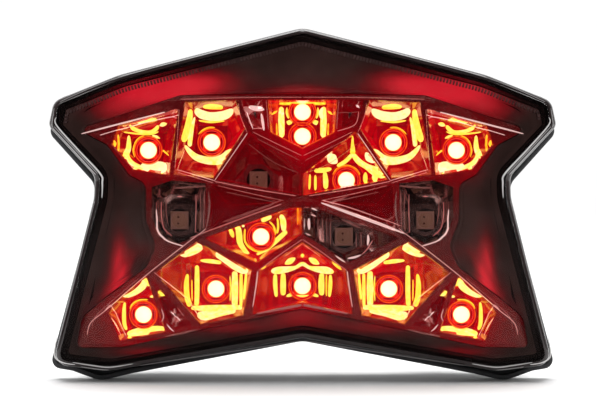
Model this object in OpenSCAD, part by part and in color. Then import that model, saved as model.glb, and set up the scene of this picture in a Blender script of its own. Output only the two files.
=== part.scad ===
// Motorcycle tail light with a smoked lens and integrated turn signals.
//
// Frame: X to the right, Z up, the lens faces -Y. The origin is the centre of the four mounting
// bolts, on the plane that the mounting pads rest against. Depths are distances in front of that
// plane, so a depth of 10 is y = -10.

/* [Overall] */
// Width over the shoulders of the housing flange
lamp_w = 140; // [116:0.5:170]
// Height from the feet to the peak of the housing flange
lamp_h = 96.5; // [80:0.5:116]
// Depth of the lens crown in front of the mounting plane
lamp_d = 60; // [58:0.5:72]

/* [Lens] */
// Wall thickness of the lens
lens_wall = 2.2; // [1.6:0.1:2.8]
// Radius of the crown of the lens
crown_r = 330; // [300:5:500]
// Width of the step that runs round the rim of the lens
rim_step = 1.2; // [0.8:0.1:2]
// Height of the foot at the back of the lens skirt
lens_foot_h = 3.5; // [2.5:0.1:5]

/* [Housing] */
// Depth of the outer face of the back wall
back_depth = 12; // [10:0.5:14]
// Thickness of the housing walls
wall = 2.2; // [1.8:0.1:3]
// Depth of the floor of the sealing channel
channel_depth = 36; // [35:0.5:38]
// Height of the lip outside the sealing channel
lip_h = 4; // [3:0.1:5]
// Thickness of the lip outside the sealing channel
lip_t = 1.2; // [0.9:0.1:1.6]

/* [Reflector] */
// Depth of the ridges between the cells
ridge_depth = 45; // [42:0.5:46]
// Thickness of the cell floors
floor_t = 1.2; // [1:0.1:1.6]
// Thickness of the front skin between the cells and the edge of the pan
skin = 1.5; // [1.2:0.1:2]
// Thickness of the ridge between two cells
ridge_t = 1.2; // [0.8:0.1:1.6]
// Radius of the opening round each LED
aperture_r = 3.9; // [3.7:0.1:4.2]

/* [Electronics] */
// Depth of the front face of the circuit board
board_front = 31.5; // [30:0.5:32]
// Thickness of the circuit board
board_t = 1.6; // [1:0.1:2]
// Side of a square LED package
led_side = 5; // [4:0.1:5.4]
// Height of an LED package
led_h = 1.6; // [1.2:0.1:1.8]
// Radius of the resin window of an LED
window_r = 2.1; // [1.6:0.1:2.2]

/* [Mounting] */
// Distance between the mounting bolts across the lamp
bolt_dx = 80; // [70:0.5:84]
// Distance between the mounting bolts up the lamp
bolt_dz = 46; // [40:0.5:50]
// Radius of a mounting boss
boss_r = 8; // [7:0.1:9]
// Thickness of the rubber mounting pads
pad_t = 2; // [1:0.1:3]
// Outer radius of a threaded insert
insert_r = 4.3; // [3.8:0.1:5]
// Radius of the hole in a threaded insert
insert_hole_r = 2.5; // [2:0.1:3]
// Length of a threaded insert, which also stops the bolt from crushing the pad
insert_len = 11; // [9:0.5:12]

/* [Harness socket] */
// Inside width of the socket
socket_w = 20; // [18:0.5:24]
// Inside height of the socket
socket_h = 8.8; // [8.4:0.1:10]
// Wall of the socket
socket_wall = 1.6; // [1.2:0.1:2.2]
// Depth of the mouth of the socket
socket_mouth = 3; // [2.5:0.5:5]

/* [Screws] */
// Shank radius of the self-tapping screws
screw_r = 1.25; // [1:0.05:1.5]
// Head radius of the self-tapping screws
screw_head_r = 2.6; // [2.2:0.1:3]
// Head height of the self-tapping screws
screw_head_h = 1.8; // [1.4:0.1:2.2]
// Radius of the pillars that the screws go into
pillar_r = 2.1; // [1.9:0.1:2.2]

/* [Clearances] */
// Gap between pieces that sit loosely side by side
gap = 0.3; // [0.2:0.05:0.5]
// Gap round pieces that are pushed into a hole
fit = 0.05; // [0.02:0.01:0.1]

/* [Hidden] */
$fn = 64;
ARC_STEPS = 6;
INNER_R = 0.6;
BIG = 200;

// The outlines below are drawn on a lamp 140 wide and 96.5 high, and at() fits them to this lamp.
DRAWN_W = 140;
DRAWN_H = 96.5;
function at(p) = [p[0] * lamp_w / DRAWN_W, p[1] * lamp_h / DRAWN_H];

// Right half of each outline from the top centre to the bottom centre, as [point, corner radius].
LENS_HALF = [
    [[0, 47.7], 8], [[50, 35.0], 30], [[67.9, 28.0], 3.5], [[69.3, 21.2], 2.5], [[56.4, 7.6], 4],
    [[56.6, 1.6], 12], [[68.4, -43.9], 3.5], [[53, -45.6], 14], [[0, -36.2], 8]
];
FLANGE_HALF = [
    [[0, 48.4], 8], [[50, 35.7], 30], [[68.3, 28.8], 4], [[70, 19.4], 3], [[57.6, 5.6], 4],
    [[57.8, 0.6], 12], [[70, -45.2], 2.6], [[63.8, -46.2], 6], [[56, -49.0], 7], [[47.4, -47.0], 10],
    [[0, -38.0], 8]
];
CHAMBER_HALF = [
    [[0, 43.0], 6], [[49.4, 30.4], 8], [[63.6, 25.0], 4], [[52.3, 9.0], 4], [[52.3, 1.0], 5],
    [[62.2, -39.8], 4], [[52, -41.4], 6], [[0, -31.7], 8]
];
PAN_HALF = [
    [[0, 30.6], 4], [[34, 29.8], 6], [[62.2, 20.6], 1.2], [[54, 16.4], 3], [[47.8, 8.0], 3],
    [[43.2, 5.6], 3], [[43.2, -4.5], 6], [[40.4, -11.5], 4], [[42.9, -17.4], 4], [[54.4, -26], 6],
    [[61, -31.4], 5], [[62.6, -39.8], 1.5], [[50, -39.6], 3], [[29.3, -35.0], 6], [[0, -28.8], 5]
];

// Cells of the reflector. Each is a list of the corners of one pocket, clockwise from the front.
CELL_CENTRE_TOP = [[-9.7, 28.8], [9.7, 28.8], [9.0, 19.6], [0, 15.0], [-9.0, 19.6]];
CELL_CENTRE_LOW = [[0, -10.4], [11.9, -17.7], [14.0, -30.7], [0, -27.4], [-14.0, -30.7], [-11.9, -17.7]];
CELL_BROW = [[34.0, 26.6], [51.2, 21.6], [53.0, 16.4], [46.9, 9.2], [36.6, 7.6]];
CELL_UPPER = [[18.3, 28.7], [32.6, 28.2], [35.8, 7.9], [24.3, 6.9], [15.5, 20.8]];
CELL_MIDDLE = [[0, 8.4], [14.6, 20.2], [23.9, 6.5], [0, 2.0]];
CELL_WING = [[4.9, 0.6], [24.2, 5.7], [36.2, 6.8], [42, 4.9], [42, -4], [39.2, -9.8], [34, -11.3], [28.6, -9.3]];
CELL_LOWER = [[0, -0.8], [3.5, -0.8], [27.7, -9.4], [12.7, -16.5], [0, -8.6]];
CELL_FLANK = [[29.2, -10.2], [40.9, -19.0], [28, -33.4], [16.2, -30.9], [13.7, -18.2]];
CELL_FOOT = [[43.0, -19.5], [51.8, -26.9], [53.7, -30.3], [50.6, -38.2], [37.5, -35.3]];

SINGLE_CELLS = [CELL_CENTRE_TOP, CELL_CENTRE_LOW];
PAIRED_CELLS = [CELL_BROW, CELL_UPPER, CELL_MIDDLE, CELL_WING, CELL_LOWER, CELL_FLANK, CELL_FOOT];

// LED centres
TAIL_LEDS = [
    [-43.1, 15.0], [43.1, 15.0], [-25.4, 17.2], [25.4, 17.2], [0, 25.7], [0, 18.9],
    [12.3, 6.6], [-11.6, -9.2], [0, -23.0], [-24.2, -23.8], [24.2, -23.8], [-44.5, -31.0], [44.5, -31.0]
];
LEFT_TURN_LEDS = [[-12.3, 6.6], [-34.4, -4.6]];
RIGHT_TURN_LEDS = [[11.6, -9.2], [34.4, -4.6]];
ALL_LEDS = concat(TAIL_LEDS, LEFT_TURN_LEDS, RIGHT_TURN_LEDS);

// Screws that hold the board to the reflector, and the housing to the bezel
BOARD_SCREWS = [[13, 24.3], [34.5, -30.2], [55.4, -35.0]];
HOUSING_SCREWS = [[20, 33.1], [50, -14]];

// Depths
floor_back = board_front + 0.2;
floor_front = floor_back + floor_t;
board_back = board_front - board_t;
board_gap = 0.5;
wall_inner = back_depth + wall;
flange_back = channel_depth - wall;
seal_front = channel_depth + 1;
bezel_back = 41;
bezel_t = 2;
bezel_gap = 0.6;
pillar_end = wall_inner + gap;
housing_screw_len = 12;
board_screw_len = 8;

// Socket, with its terminals in two rows of three
socket_web = 18;
terminal_tip = socket_mouth + 5;
terminal_w = 1.5;
terminal_t = 0.8;
terminal_dx = 5.5;
terminal_dz = 5.5;
socket_z = -6;
socket_corner_r = 1.5;
seal_w = 2;

// Breather on the back wall
vent_at = [0, 19];
vent_spigot_r = 4.5;
vent_hole_r = 3;
vent_spigot_end = 6;
vent_cap_r = 6.6;
vent_cap_end = 3.4;
membrane_t = 0.5;

// ---- outline geometry ----

function unit(v) = v / norm(v);
function right_of(v) = [v[1], -v[0]];
function cross2(u, v) = u[0] * v[1] - u[1] * v[0];
function before(pts, i) = pts[(i + len(pts) - 1) % len(pts)];
function after(pts, i) = pts[(i + 1) % len(pts)];

// A half outline, scaled to this lamp and completed with its mirror image
function whole(half) =
    let (n = len(half))
    concat(
        [for (p = half) [at(p[0]), p[1]]],
        [for (i = [n - 2 : -1 : 1]) [at([-half[i][0][0], half[i][0][1]]), half[i][1]]]
    );

// Moves each edge of a clockwise outline inwards by d, with sharp corners
function inset(pts, d) = [
    for (i = [0 : len(pts) - 1])
        let (
            m = right_of(unit(pts[i] - before(pts, i))),
            k = right_of(unit(after(pts, i) - pts[i]))
        )
        pts[i] + (m + k) * d / (1 + m * k)
];

// The arc of radius r that replaces corner b between a and c
function corner_arc(a, b, c, r) =
    let (
        u = unit(a - b),
        v = unit(c - b),
        half = acos(u * v) / 2,
        reach = min(r / tan(half), 0.45 * norm(a - b), 0.45 * norm(c - b)),
        radius = reach * tan(half),
        centre = b + unit(u + v) * radius / sin(half),
        start = b + u * reach - centre,
        end = b + v * reach - centre,
        a1 = atan2(start[1], start[0]),
        a2 = atan2(end[1], end[0]),
        sweep = (a2 - a1 + 540) % 360 - 180
    )
    [for (s = [0 : ARC_STEPS]) centre + radius * [cos(a1 + sweep * s / ARC_STEPS), sin(a1 + sweep * s / ARC_STEPS)]];

function rounded(pts, radii) = [
    for (i = [0 : len(pts) - 1])
        each corner_arc(before(pts, i), pts[i], after(pts, i), radii[i])
];

// A whole outline moved inwards by d (outwards where d is negative), with its corners rounded
function outline(half, d) =
    let (
        corners = whole(half),
        pts = [for (p = corners) p[0]],
        bends = [for (i = [0 : len(pts) - 1]) sign(cross2(after(pts, i) - pts[i], pts[i] - before(pts, i)))],
        radii = [for (i = [0 : len(pts) - 1]) max(INNER_R, corners[i][1] - bends[i] * d)]
    )
    rounded(inset(pts, d), radii);

// The corners of a cell moved inwards by d
function cell_outline(cell, d) = rounded(inset([for (p = cell) at(p)], d), [for (p = cell) max(0.4, 1 + -d)]);
function mirrored(pts) = [for (i = [len(pts) - 1 : -1 : 0]) [-pts[i][0], pts[i][1]]];
function both_sides(list) = concat(list, [for (p = list) [-p[0], p[1]]]);

CELLS = concat(SINGLE_CELLS, PAIRED_CELLS, [for (c = PAIRED_CELLS) mirrored(c)]);
BOLTS = [for (sx = [-1, 1], sz = [-1, 1]) [sx * bolt_dx / 2, sz * bolt_dz / 2]];

// ---- building blocks ----

// Extrudes a front view outline between two depths
module slab(from, to) {
    translate([0, -from, 0])
        rotate([90, 0, 0])
            linear_extrude(to - from)
                children();
}

// The band of a whole outline between two insets
module ring2d(half, outer, inner) {
    difference() {
        polygon(outline(half, outer));
        polygon(outline(half, inner));
    }
}

// A round bar along the depth, at a place on the front view
module rod(place, r, from, to) {
    translate([place[0], -from, place[1]])
        rotate([90, 0, 0])
            cylinder(r = r, h = to - from);
}

// A round ended rectangle, centred
module plate2d(w, h, r) {
    polygon(rounded([[-w / 2, h / 2], [w / 2, h / 2], [w / 2, -h / 2], [-w / 2, -h / 2]], [r, r, r, r]));
}

// Everything behind the crown of the lens, less t
module under_crown(t) {
    translate([0, crown_r - lamp_d, 0])
        sphere(r = crown_r - t, $fn = 128);
}

// A box on a board face: centre on the front view, size across, up and along the depth
module chip(place, w, h, from, to) {
    translate([place[0] - w / 2, -to, place[1] - h / 2])
        cube([w, to - from, h]);
}

// ---- lens, housing and seal ----

module outer_lens() {
    color("#3a2b2b")
    difference() {
        union() {
            intersection() {
                slab(channel_depth + 1, lamp_d) polygon(outline(LENS_HALF, rim_step));
                under_crown(0);
            }
            intersection() {
                slab(channel_depth + 1, lamp_d) polygon(outline(LENS_HALF, 0));
                under_crown(rim_step);
            }
            slab(seal_front, seal_front + lens_foot_h) polygon(outline(FLANGE_HALF, lip_t + gap));
        }
        intersection() {
            slab(channel_depth, lamp_d) polygon(outline(LENS_HALF, rim_step + lens_wall));
            under_crown(lens_wall);
        }
        slab(channel_depth, channel_depth + lip_h + gap) ring2d(FLANGE_HALF, -wall, lip_t + gap);
    }
}

// Ribs on the back wall, which tie the mounting bosses together
module back_ribs() {
    for (s = [-1, 1]) {
        for (x = [14, 27]) chip(at([s * x, 0]), wall, bolt_dz, back_depth - 2.5, back_depth);
        chip([s * bolt_dx / 2, 0], wall, bolt_dz - boss_r, pad_t + 4, back_depth);
        chip([0, s * bolt_dz / 2], bolt_dx - boss_r, wall, back_depth - 4, back_depth);
    }
}

module rear_housing() {
    color("#1b1b1d")
    difference() {
        union() {
            slab(back_depth, channel_depth + lip_h - 0.5) polygon(outline(CHAMBER_HALF, 0));
            slab(flange_back, channel_depth) polygon(outline(FLANGE_HALF, lip_t / 2));
            slab(flange_back, channel_depth + lip_h) ring2d(FLANGE_HALF, 0, lip_t);
            for (b = BOLTS) rod(b, boss_r, pad_t, wall_inner);
            difference() {
                back_ribs();
                rod(vent_at, vent_cap_r + gap, 0, BIG);
            }
            rod(vent_at, vent_spigot_r, vent_spigot_end, back_depth);
            translate([0, 0, socket_z])
                slab(back_depth - 4, back_depth)
                    plate2d(socket_w + 4 * socket_wall + 2 * seal_w, socket_h + 4 * socket_wall + 2 * seal_w, 3);
        }
        difference() {
            slab(wall_inner, BIG) polygon(outline(CHAMBER_HALF, wall));
            for (b = BOLTS) rod(b, boss_r, pad_t, wall_inner + 3);
        }
        for (b = BOLTS) rod(b, insert_r, 0, insert_len + gap);
        for (p = both_sides(HOUSING_SCREWS)) rod(at(p), screw_r + gap, 0, BIG);
        rod(vent_at, vent_hole_r, 0, BIG);
        translate([0, 0, socket_z])
            slab(0, wall_inner + 1)
                plate2d(socket_w + 2 * socket_wall + 2 * seal_w, socket_h + 2 * socket_wall + 2 * seal_w, 2.5);
    }
}

module lens_seal() {
    color("#0f0f10")
    slab(channel_depth, seal_front) difference() {
        polygon(outline(FLANGE_HALF, lip_t));
        polygon(outline(CHAMBER_HALF, 0));
    }
}

// ---- reflector and bezel ----

module inner_bezel() {
    inner = rim_step + lens_wall + gap;
    color("#2c2224")
    difference() {
        union() {
            slab(bezel_back, bezel_back + bezel_t) polygon(outline(LENS_HALF, inner));
            for (p = both_sides(HOUSING_SCREWS)) rod(at(p), pillar_r, pillar_end, bezel_back + bezel_t);
        }
        slab(0, BIG) polygon(outline(PAN_HALF, -gap));
        for (p = both_sides(HOUSING_SCREWS)) rod(at(p), screw_r, 0, pillar_end + housing_screw_len);
    }
}

module reflector() {
    color("#8d8583")
    difference() {
        union() {
            slab(ridge_depth - skin, ridge_depth) polygon(outline(PAN_HALF, 0));
            slab(bezel_back - 1, ridge_depth) ring2d(PAN_HALF, 0, skin);
            for (c = CELLS) slab(floor_back, ridge_depth) polygon(cell_outline(c, -ridge_t / 2));
            for (p = both_sides(BOARD_SCREWS)) rod(at(p), pillar_r, board_front, ridge_depth - skin / 2);
        }
        for (c = CELLS) slab(floor_front, BIG) polygon(cell_outline(c, ridge_t / 2));
        for (p = ALL_LEDS) rod(at(p), aperture_r, 0, floor_front + fit);
        for (p = ALL_LEDS) chip(at(p), led_side + 2 * fit, led_side + 2 * fit, 0, board_front + led_h + gap);
        for (p = both_sides(BOARD_SCREWS)) rod(at(p), screw_r, 0, board_front + board_screw_len);
    }
}

// ---- board and what is on it ----

module led_board() {
    color("#e8e6dc")
    difference() {
        slab(board_back, board_front) intersection() {
            polygon(outline(PAN_HALF, 1));
            polygon(outline(CHAMBER_HALF, wall + board_gap));
        }
        for (p = both_sides(BOARD_SCREWS)) rod(at(p), screw_r + gap, 0, BIG);
    }
}

module led_bodies(places) {
    difference() {
        for (p = places) chip(at(p), led_side, led_side, board_front, board_front + led_h);
        for (p = places) rod(at(p), window_r, board_front + led_h / 2, BIG);
    }
}

module led_windows(places) {
    for (p = places) rod(at(p), window_r, board_front + led_h / 2, board_front + led_h);
}

module led_resistors() {
    color("#222222")
    for (s = [-1, 1], row = [0 : 2], col = [0 : 2])
        chip(at([s * (16 + 5 * col), 12 - 8 * row]), 3.2, 1.6, board_back - 0.6, board_back);
}

module polarity_diodes() {
    color("#2a2a2a")
    for (x = [-6, 0, 6]) chip(at([x, 8]), 4.3, 2.6, board_back - 2.2, board_back);
}

module smoothing_capacitors() {
    color("#9aa0a6")
    for (s = [-1, 1]) rod(at([s * 21, -17]), 4, board_back - 7.5, board_back);
}

module led_drivers() {
    color("#1d1d1d")
    for (x = [-9, 0, 9]) chip(at([x, -21]), 5, 6, board_back - 1.6, board_back);
}

// ---- harness socket ----

module terminals(grow, from, to) {
    for (col = [-1 : 1], row = [-1, 1])
        chip(
            [col * terminal_dx, socket_z + row * terminal_dz / 2],
            terminal_w + 2 * grow, terminal_t + 2 * grow, from, to
        );
}

module harness_socket() {
    color("#26262a")
    difference() {
        translate([0, 0, socket_z]) union() {
            slab(socket_mouth, board_back)
                plate2d(socket_w + 2 * socket_wall, socket_h + 2 * socket_wall, socket_corner_r + 1);
            chip([0, socket_h / 2 + socket_wall + 0.8], 6, 2, socket_mouth + 1.5, socket_mouth + 4);
        }
        translate([0, 0, socket_z]) slab(0, socket_web) plate2d(socket_w, socket_h, socket_corner_r);
        terminals(fit, 0, BIG);
    }
}

module socket_terminals() {
    color("#c9a85a")
    terminals(0, terminal_tip, board_back);
}

module socket_seal() {
    color("#111111")
    translate([0, 0, socket_z]) slab(back_depth - 3.5, wall_inner) difference() {
        plate2d(socket_w + 2 * socket_wall + 2 * seal_w, socket_h + 2 * socket_wall + 2 * seal_w, 2.5);
        plate2d(socket_w + 2 * socket_wall, socket_h + 2 * socket_wall, socket_corner_r + 1);
    }
}

// ---- fasteners, mounts and breather ----

// A self-tapping screw whose head is behind the depth seat
module screw(place, seat, length) {
    difference() {
        union() {
            rod(place, screw_head_r, seat - screw_head_h, seat);
            rod(place, screw_r, seat - 0.1, seat + length);
        }
        for (turn = [0, 90])
            translate([place[0], -seat + screw_head_h, place[1]])
                rotate([0, turn, 0])
                    cube([0.7, 2, 3.2], center = true);
    }
}

module board_screws() {
    color("#b8b8b8")
    for (p = both_sides(BOARD_SCREWS)) screw(at(p), board_back, board_t + board_screw_len - 1);
}

module housing_screws() {
    color("#b8b8b8")
    for (p = both_sides(HOUSING_SCREWS)) screw(at(p), back_depth - 0.8, 0.8 + wall + gap + housing_screw_len - 1);
}

module screw_seals() {
    color("#111111")
    for (p = both_sides(HOUSING_SCREWS)) difference() {
        rod(at(p), screw_head_r, back_depth - 0.8, back_depth);
        rod(at(p), screw_r, 0, BIG);
    }
}

module mount_inserts() {
    color("#c8a24a")
    for (b = BOLTS) difference() {
        rod(b, insert_r, 0, insert_len);
        rod(b, insert_hole_r, 0, BIG);
    }
}

module mount_pads() {
    color("#151515")
    for (b = BOLTS) difference() {
        rod(b, boss_r, 0, pad_t);
        rod(b, insert_r + fit, -1, pad_t + 1);
    }
}

module vent_cap() {
    color("#151515")
    difference() {
        rod(vent_at, vent_cap_r, vent_cap_end, back_depth - 0.6);
        rod(vent_at, vent_spigot_r, vent_spigot_end - membrane_t, BIG);
        for (turn = [0 : 90 : 270])
            translate([vent_at[0], -back_depth, vent_at[1]])
                rotate([0, turn, 0])
                    translate([vent_cap_r, 0, 0])
                        cube([3, 4, 2.4], center = true);
    }
}

module vent_membrane() {
    color("#dddddd")
    rod(vent_at, vent_spigot_r, vent_spigot_end - membrane_t, vent_spigot_end);
}

outer_lens();
rear_housing();
lens_seal();
inner_bezel();
reflector();
led_board();
color("#e9e4d4") led_bodies(TAIL_LEDS);  // tail_led_bodies
color("#ff2a12") led_windows(TAIL_LEDS);  // tail_led_windows
color("#e9e4d4") led_bodies(LEFT_TURN_LEDS);  // left_turn_led_bodies
color("#b39a72") led_windows(LEFT_TURN_LEDS);  // left_turn_led_windows
color("#e9e4d4") led_bodies(RIGHT_TURN_LEDS);  // right_turn_led_bodies
color("#b39a72") led_windows(RIGHT_TURN_LEDS);  // right_turn_led_windows
led_resistors();
polarity_diodes();
smoothing_capacitors();
led_drivers();
harness_socket();
socket_terminals();
socket_seal();
board_screws();
housing_screws();
screw_seals();
mount_inserts();
mount_pads();
vent_cap();
vent_membrane();
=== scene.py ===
"""Motorcycle tail light: the looks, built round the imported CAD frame.

Every place is in metres in the CAD frame: X right, Z up, the lens faces -Y. Most sizes below are in
millimetres and are turned into metres by MM. A depth is a distance in front of the mounting plane,
so a depth of 10 is y = -10 mm.
"""

import math
import random

import bmesh
import bpy
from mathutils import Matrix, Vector
from mathutils.geometry import tessellate_polygon

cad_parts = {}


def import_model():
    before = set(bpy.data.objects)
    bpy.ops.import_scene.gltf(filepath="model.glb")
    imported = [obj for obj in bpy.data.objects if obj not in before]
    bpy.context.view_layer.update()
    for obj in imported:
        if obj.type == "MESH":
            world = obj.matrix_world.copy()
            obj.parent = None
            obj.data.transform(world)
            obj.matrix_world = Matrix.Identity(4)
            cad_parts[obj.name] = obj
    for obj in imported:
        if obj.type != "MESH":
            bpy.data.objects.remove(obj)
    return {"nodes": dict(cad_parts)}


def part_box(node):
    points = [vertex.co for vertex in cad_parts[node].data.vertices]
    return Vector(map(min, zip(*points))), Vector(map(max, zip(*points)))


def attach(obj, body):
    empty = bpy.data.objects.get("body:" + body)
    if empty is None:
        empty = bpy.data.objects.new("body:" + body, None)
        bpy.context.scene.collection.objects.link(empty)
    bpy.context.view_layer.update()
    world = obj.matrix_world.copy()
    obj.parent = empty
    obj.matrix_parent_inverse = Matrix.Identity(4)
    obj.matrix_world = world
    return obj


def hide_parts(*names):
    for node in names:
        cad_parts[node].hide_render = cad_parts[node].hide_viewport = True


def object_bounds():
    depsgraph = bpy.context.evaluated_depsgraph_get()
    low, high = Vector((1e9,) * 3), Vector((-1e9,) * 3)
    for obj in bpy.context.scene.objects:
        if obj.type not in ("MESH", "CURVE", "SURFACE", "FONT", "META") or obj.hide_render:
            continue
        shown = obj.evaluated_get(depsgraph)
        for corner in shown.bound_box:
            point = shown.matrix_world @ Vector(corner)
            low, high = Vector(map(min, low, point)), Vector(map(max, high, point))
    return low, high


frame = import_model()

MM = 0.001
CAD_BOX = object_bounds()
BODY = "root"

# ---------------------------------------------------------------- sizes taken from the frame

LENS_FRONT = -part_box("outer_lens")[0].y / MM  # depth of the lens crown
LENS_FOOT = -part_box("outer_lens")[1].y / MM  # depth of the back of the lens
BOARD_FRONT = -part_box("led_board")[0].y / MM
LED_TOP = -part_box("tail_led_bodies")[0].y / MM
RIDGE = -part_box("reflector")[0].y / MM
FLOOR_BACK = BOARD_FRONT + 0.2
FLOOR = FLOOR_BACK + 1.2  # depth of the front of the cell floors
BEZEL_BACK = 38.4
CROWN_R = 330.0
LENS_WALL = 2.2

# ---------------------------------------------------------------- outlines, as in part.scad

# Right halves from the top centre to the bottom centre, as ((x, z), corner radius)
LENS_HALF = [
    ((0, 47.7), 8), ((50, 35.0), 30), ((67.9, 28.0), 3.5), ((69.3, 21.2), 2.5), ((56.4, 7.6), 4),
    ((56.6, 1.6), 12), ((68.4, -43.9), 3.5), ((53, -45.6), 14), ((0, -36.2), 8),
]
PAN_HALF = [
    ((0, 30.6), 4), ((34, 29.8), 6), ((62.2, 20.6), 1.2), ((54, 16.4), 3), ((47.8, 8.0), 3),
    ((43.2, 5.6), 3), ((43.2, -4.5), 6), ((40.4, -11.5), 4), ((42.9, -17.4), 4), ((54.4, -26), 6),
    ((61, -31.4), 5), ((62.6, -39.8), 1.5), ((50, -39.6), 3), ((29.3, -35.0), 6), ((0, -28.8), 5),
]


def rounded(points, radii, steps=6):
    """The closed outline with an arc in place of each corner."""
    out = []
    n = len(points)
    for i, b in enumerate(points):
        b = Vector(b)
        u = Vector(points[i - 1]) - b
        v = Vector(points[(i + 1) % n]) - b
        half = u.angle(v) / 2
        reach = min(radii[i] / math.tan(half), 0.45 * u.length, 0.45 * v.length)
        u.normalize()
        v.normalize()
        radius = reach * math.tan(half)
        centre = b + (u + v).normalized() * radius / math.sin(half)
        start = b + u * reach - centre
        end = b + v * reach - centre
        a1 = math.atan2(start.y, start.x)
        sweep = (math.atan2(end.y, end.x) - a1 + 3 * math.pi) % (2 * math.pi) - math.pi
        for s in range(steps + 1):
            a = a1 + sweep * s / steps
            out.append(centre + radius * Vector((math.cos(a), math.sin(a))))
    return out


def whole(half):
    """A half outline completed with its mirror image: corners and radii."""
    left = [((-x, z), r) for (x, z), r in half[-2:0:-1]]
    both = list(half) + left
    return [Vector(p) for p, _ in both], [r for _, r in both]


def inset(points, d):
    """Each edge of a clockwise outline moved inwards by d, with sharp corners."""
    out = []
    n = len(points)
    for i, b in enumerate(points):
        e1 = (b - points[i - 1]).normalized()
        e2 = (points[(i + 1) % n] - b).normalized()
        m = Vector((e1.y, -e1.x))
        k = Vector((e2.y, -e2.x))
        out.append(b + (m + k) * d / (1 + m.dot(k)))
    return out


def outline(half, d=0.0):
    """A whole rounded outline moved inwards by d."""
    points, radii = whole(half)
    moved = inset(points, d)
    n = len(points)
    fitted = []
    for i in range(n):
        a = points[(i + 1) % n] - points[i]
        b = points[i] - points[i - 1]
        bend = 1 if a.x * b.y - a.y * b.x > 0 else -1
        fitted.append(max(0.6, radii[i] - bend * d))
    return rounded(moved, fitted)


def radius_at(points, angle):
    """How far a star shaped outline is from the centre in this direction."""
    d = Vector((math.cos(angle), math.sin(angle)))
    best = 0.0
    n = len(points)
    for i in range(n):
        a = points[i]
        e = points[(i + 1) % n] - a
        det = d.x * -e.y + d.y * e.x
        if abs(det) < 1e-9:
            continue
        r = (a.x * -e.y + a.y * e.x) / det
        s = (d.x * a.y - d.y * a.x) / det
        if -1e-6 <= s <= 1 + 1e-6 and r > best:
            best = r
    return best


def directions(*outlines, step=1.5):
    """Angles round the centre: every corner of the outlines, and no gap over step degrees."""
    angles = {round(math.atan2(p.y, p.x), 5) for o in outlines for p in o}
    count = int(360 / step)
    angles |= {round(2 * math.pi * k / count - math.pi, 5) for k in range(count)}
    ordered = sorted(angles)
    kept = [ordered[0]]
    for a in ordered[1:]:
        if a - kept[-1] > 0.0015:
            kept.append(a)
    return kept


def place(x, depth, z):
    """A point of the front view at a depth, in metres."""
    return Vector((x * MM, -depth * MM, z * MM))


# ---------------------------------------------------------------- mesh helpers


def new_object(name, bm, materials):
    """Turns a bmesh into an object with these materials."""
    mesh = bpy.data.meshes.new(name)
    bm.to_mesh(mesh)
    bm.free()
    obj = bpy.data.objects.new(name, mesh)
    bpy.context.scene.collection.objects.link(obj)
    for m in materials:
        mesh.materials.append(m)
    return obj


def smooth_by_angle(obj, degrees):
    """Shades the mesh smooth, with sharp edges where faces meet at more than this angle."""
    mesh = obj.data
    bm = bmesh.new()
    bm.from_mesh(mesh)
    limit = math.radians(degrees)
    for f in bm.faces:
        f.smooth = True
    for e in bm.edges:
        e.smooth = len(e.link_faces) == 2 and e.calc_face_angle(0.0) < limit
    bm.to_mesh(mesh)
    bm.free()


def finished(name, bm, materials, node=None, smooth=None):
    """Turns a bmesh into a piece of the lamp. It stands for a CAD node when one is named."""
    bmesh.ops.recalc_face_normals(bm, faces=bm.faces)
    obj = new_object(name, bm, materials)
    if smooth:
        smooth_by_angle(obj, smooth)
    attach(obj, BODY)
    if node:
        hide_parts(node)


def islands(node):
    """Centre of each separate solid of a CAD node, in mm, as (x, depth, z), in a fixed order."""
    bm = bmesh.new()
    bm.from_mesh(frame["nodes"][node].data)
    bmesh.ops.remove_doubles(bm, verts=bm.verts, dist=1e-6)
    left = set(bm.verts)
    centres = []
    while left:
        group = []
        stack = [left.pop()]
        while stack:
            v = stack.pop()
            group.append(v.co.copy())
            for e in v.link_edges:
                w = e.other_vert(v)
                if w in left:
                    left.remove(w)
                    stack.append(w)
        low = Vector([min(c[i] for c in group) for i in range(3)])
        high = Vector([max(c[i] for c in group) for i in range(3)])
        mid = (low + high) / 2 / MM
        centres.append((round(mid.x, 3), round(-mid.y, 3), round(mid.z, 3)))
    bm.free()
    return sorted(centres)


def softened(node, name, look, width):
    """A copy of a CAD node with its edges broken by a small bevel, which stands for the node."""
    bm = bmesh.new()
    bm.from_mesh(frame["nodes"][node].data)
    bmesh.ops.remove_doubles(bm, verts=bm.verts, dist=1e-6)
    bmesh.ops.dissolve_limit(bm, angle_limit=math.radians(1.0), verts=bm.verts, edges=bm.edges)
    obj = new_object(name, bm, [look])
    bevel = obj.modifiers.new("edge", "BEVEL")
    bevel.width = width * MM
    bevel.segments = 2
    bevel.limit_method = "ANGLE"
    bevel.angle_limit = math.radians(40)
    bevel.use_clamp_overlap = True
    bevel.miter_outer = "MITER_ARC"
    apply_modifiers(obj)
    smooth_by_angle(obj, 35)
    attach(obj, BODY)
    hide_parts(node)


def apply_modifiers(obj):
    """Bakes an object's modifiers into its mesh."""
    graph = bpy.context.evaluated_depsgraph_get()
    done = bpy.data.meshes.new_from_object(obj.evaluated_get(graph))
    obj.modifiers.clear()
    old = obj.data
    obj.data = done
    bpy.data.meshes.remove(old)


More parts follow.
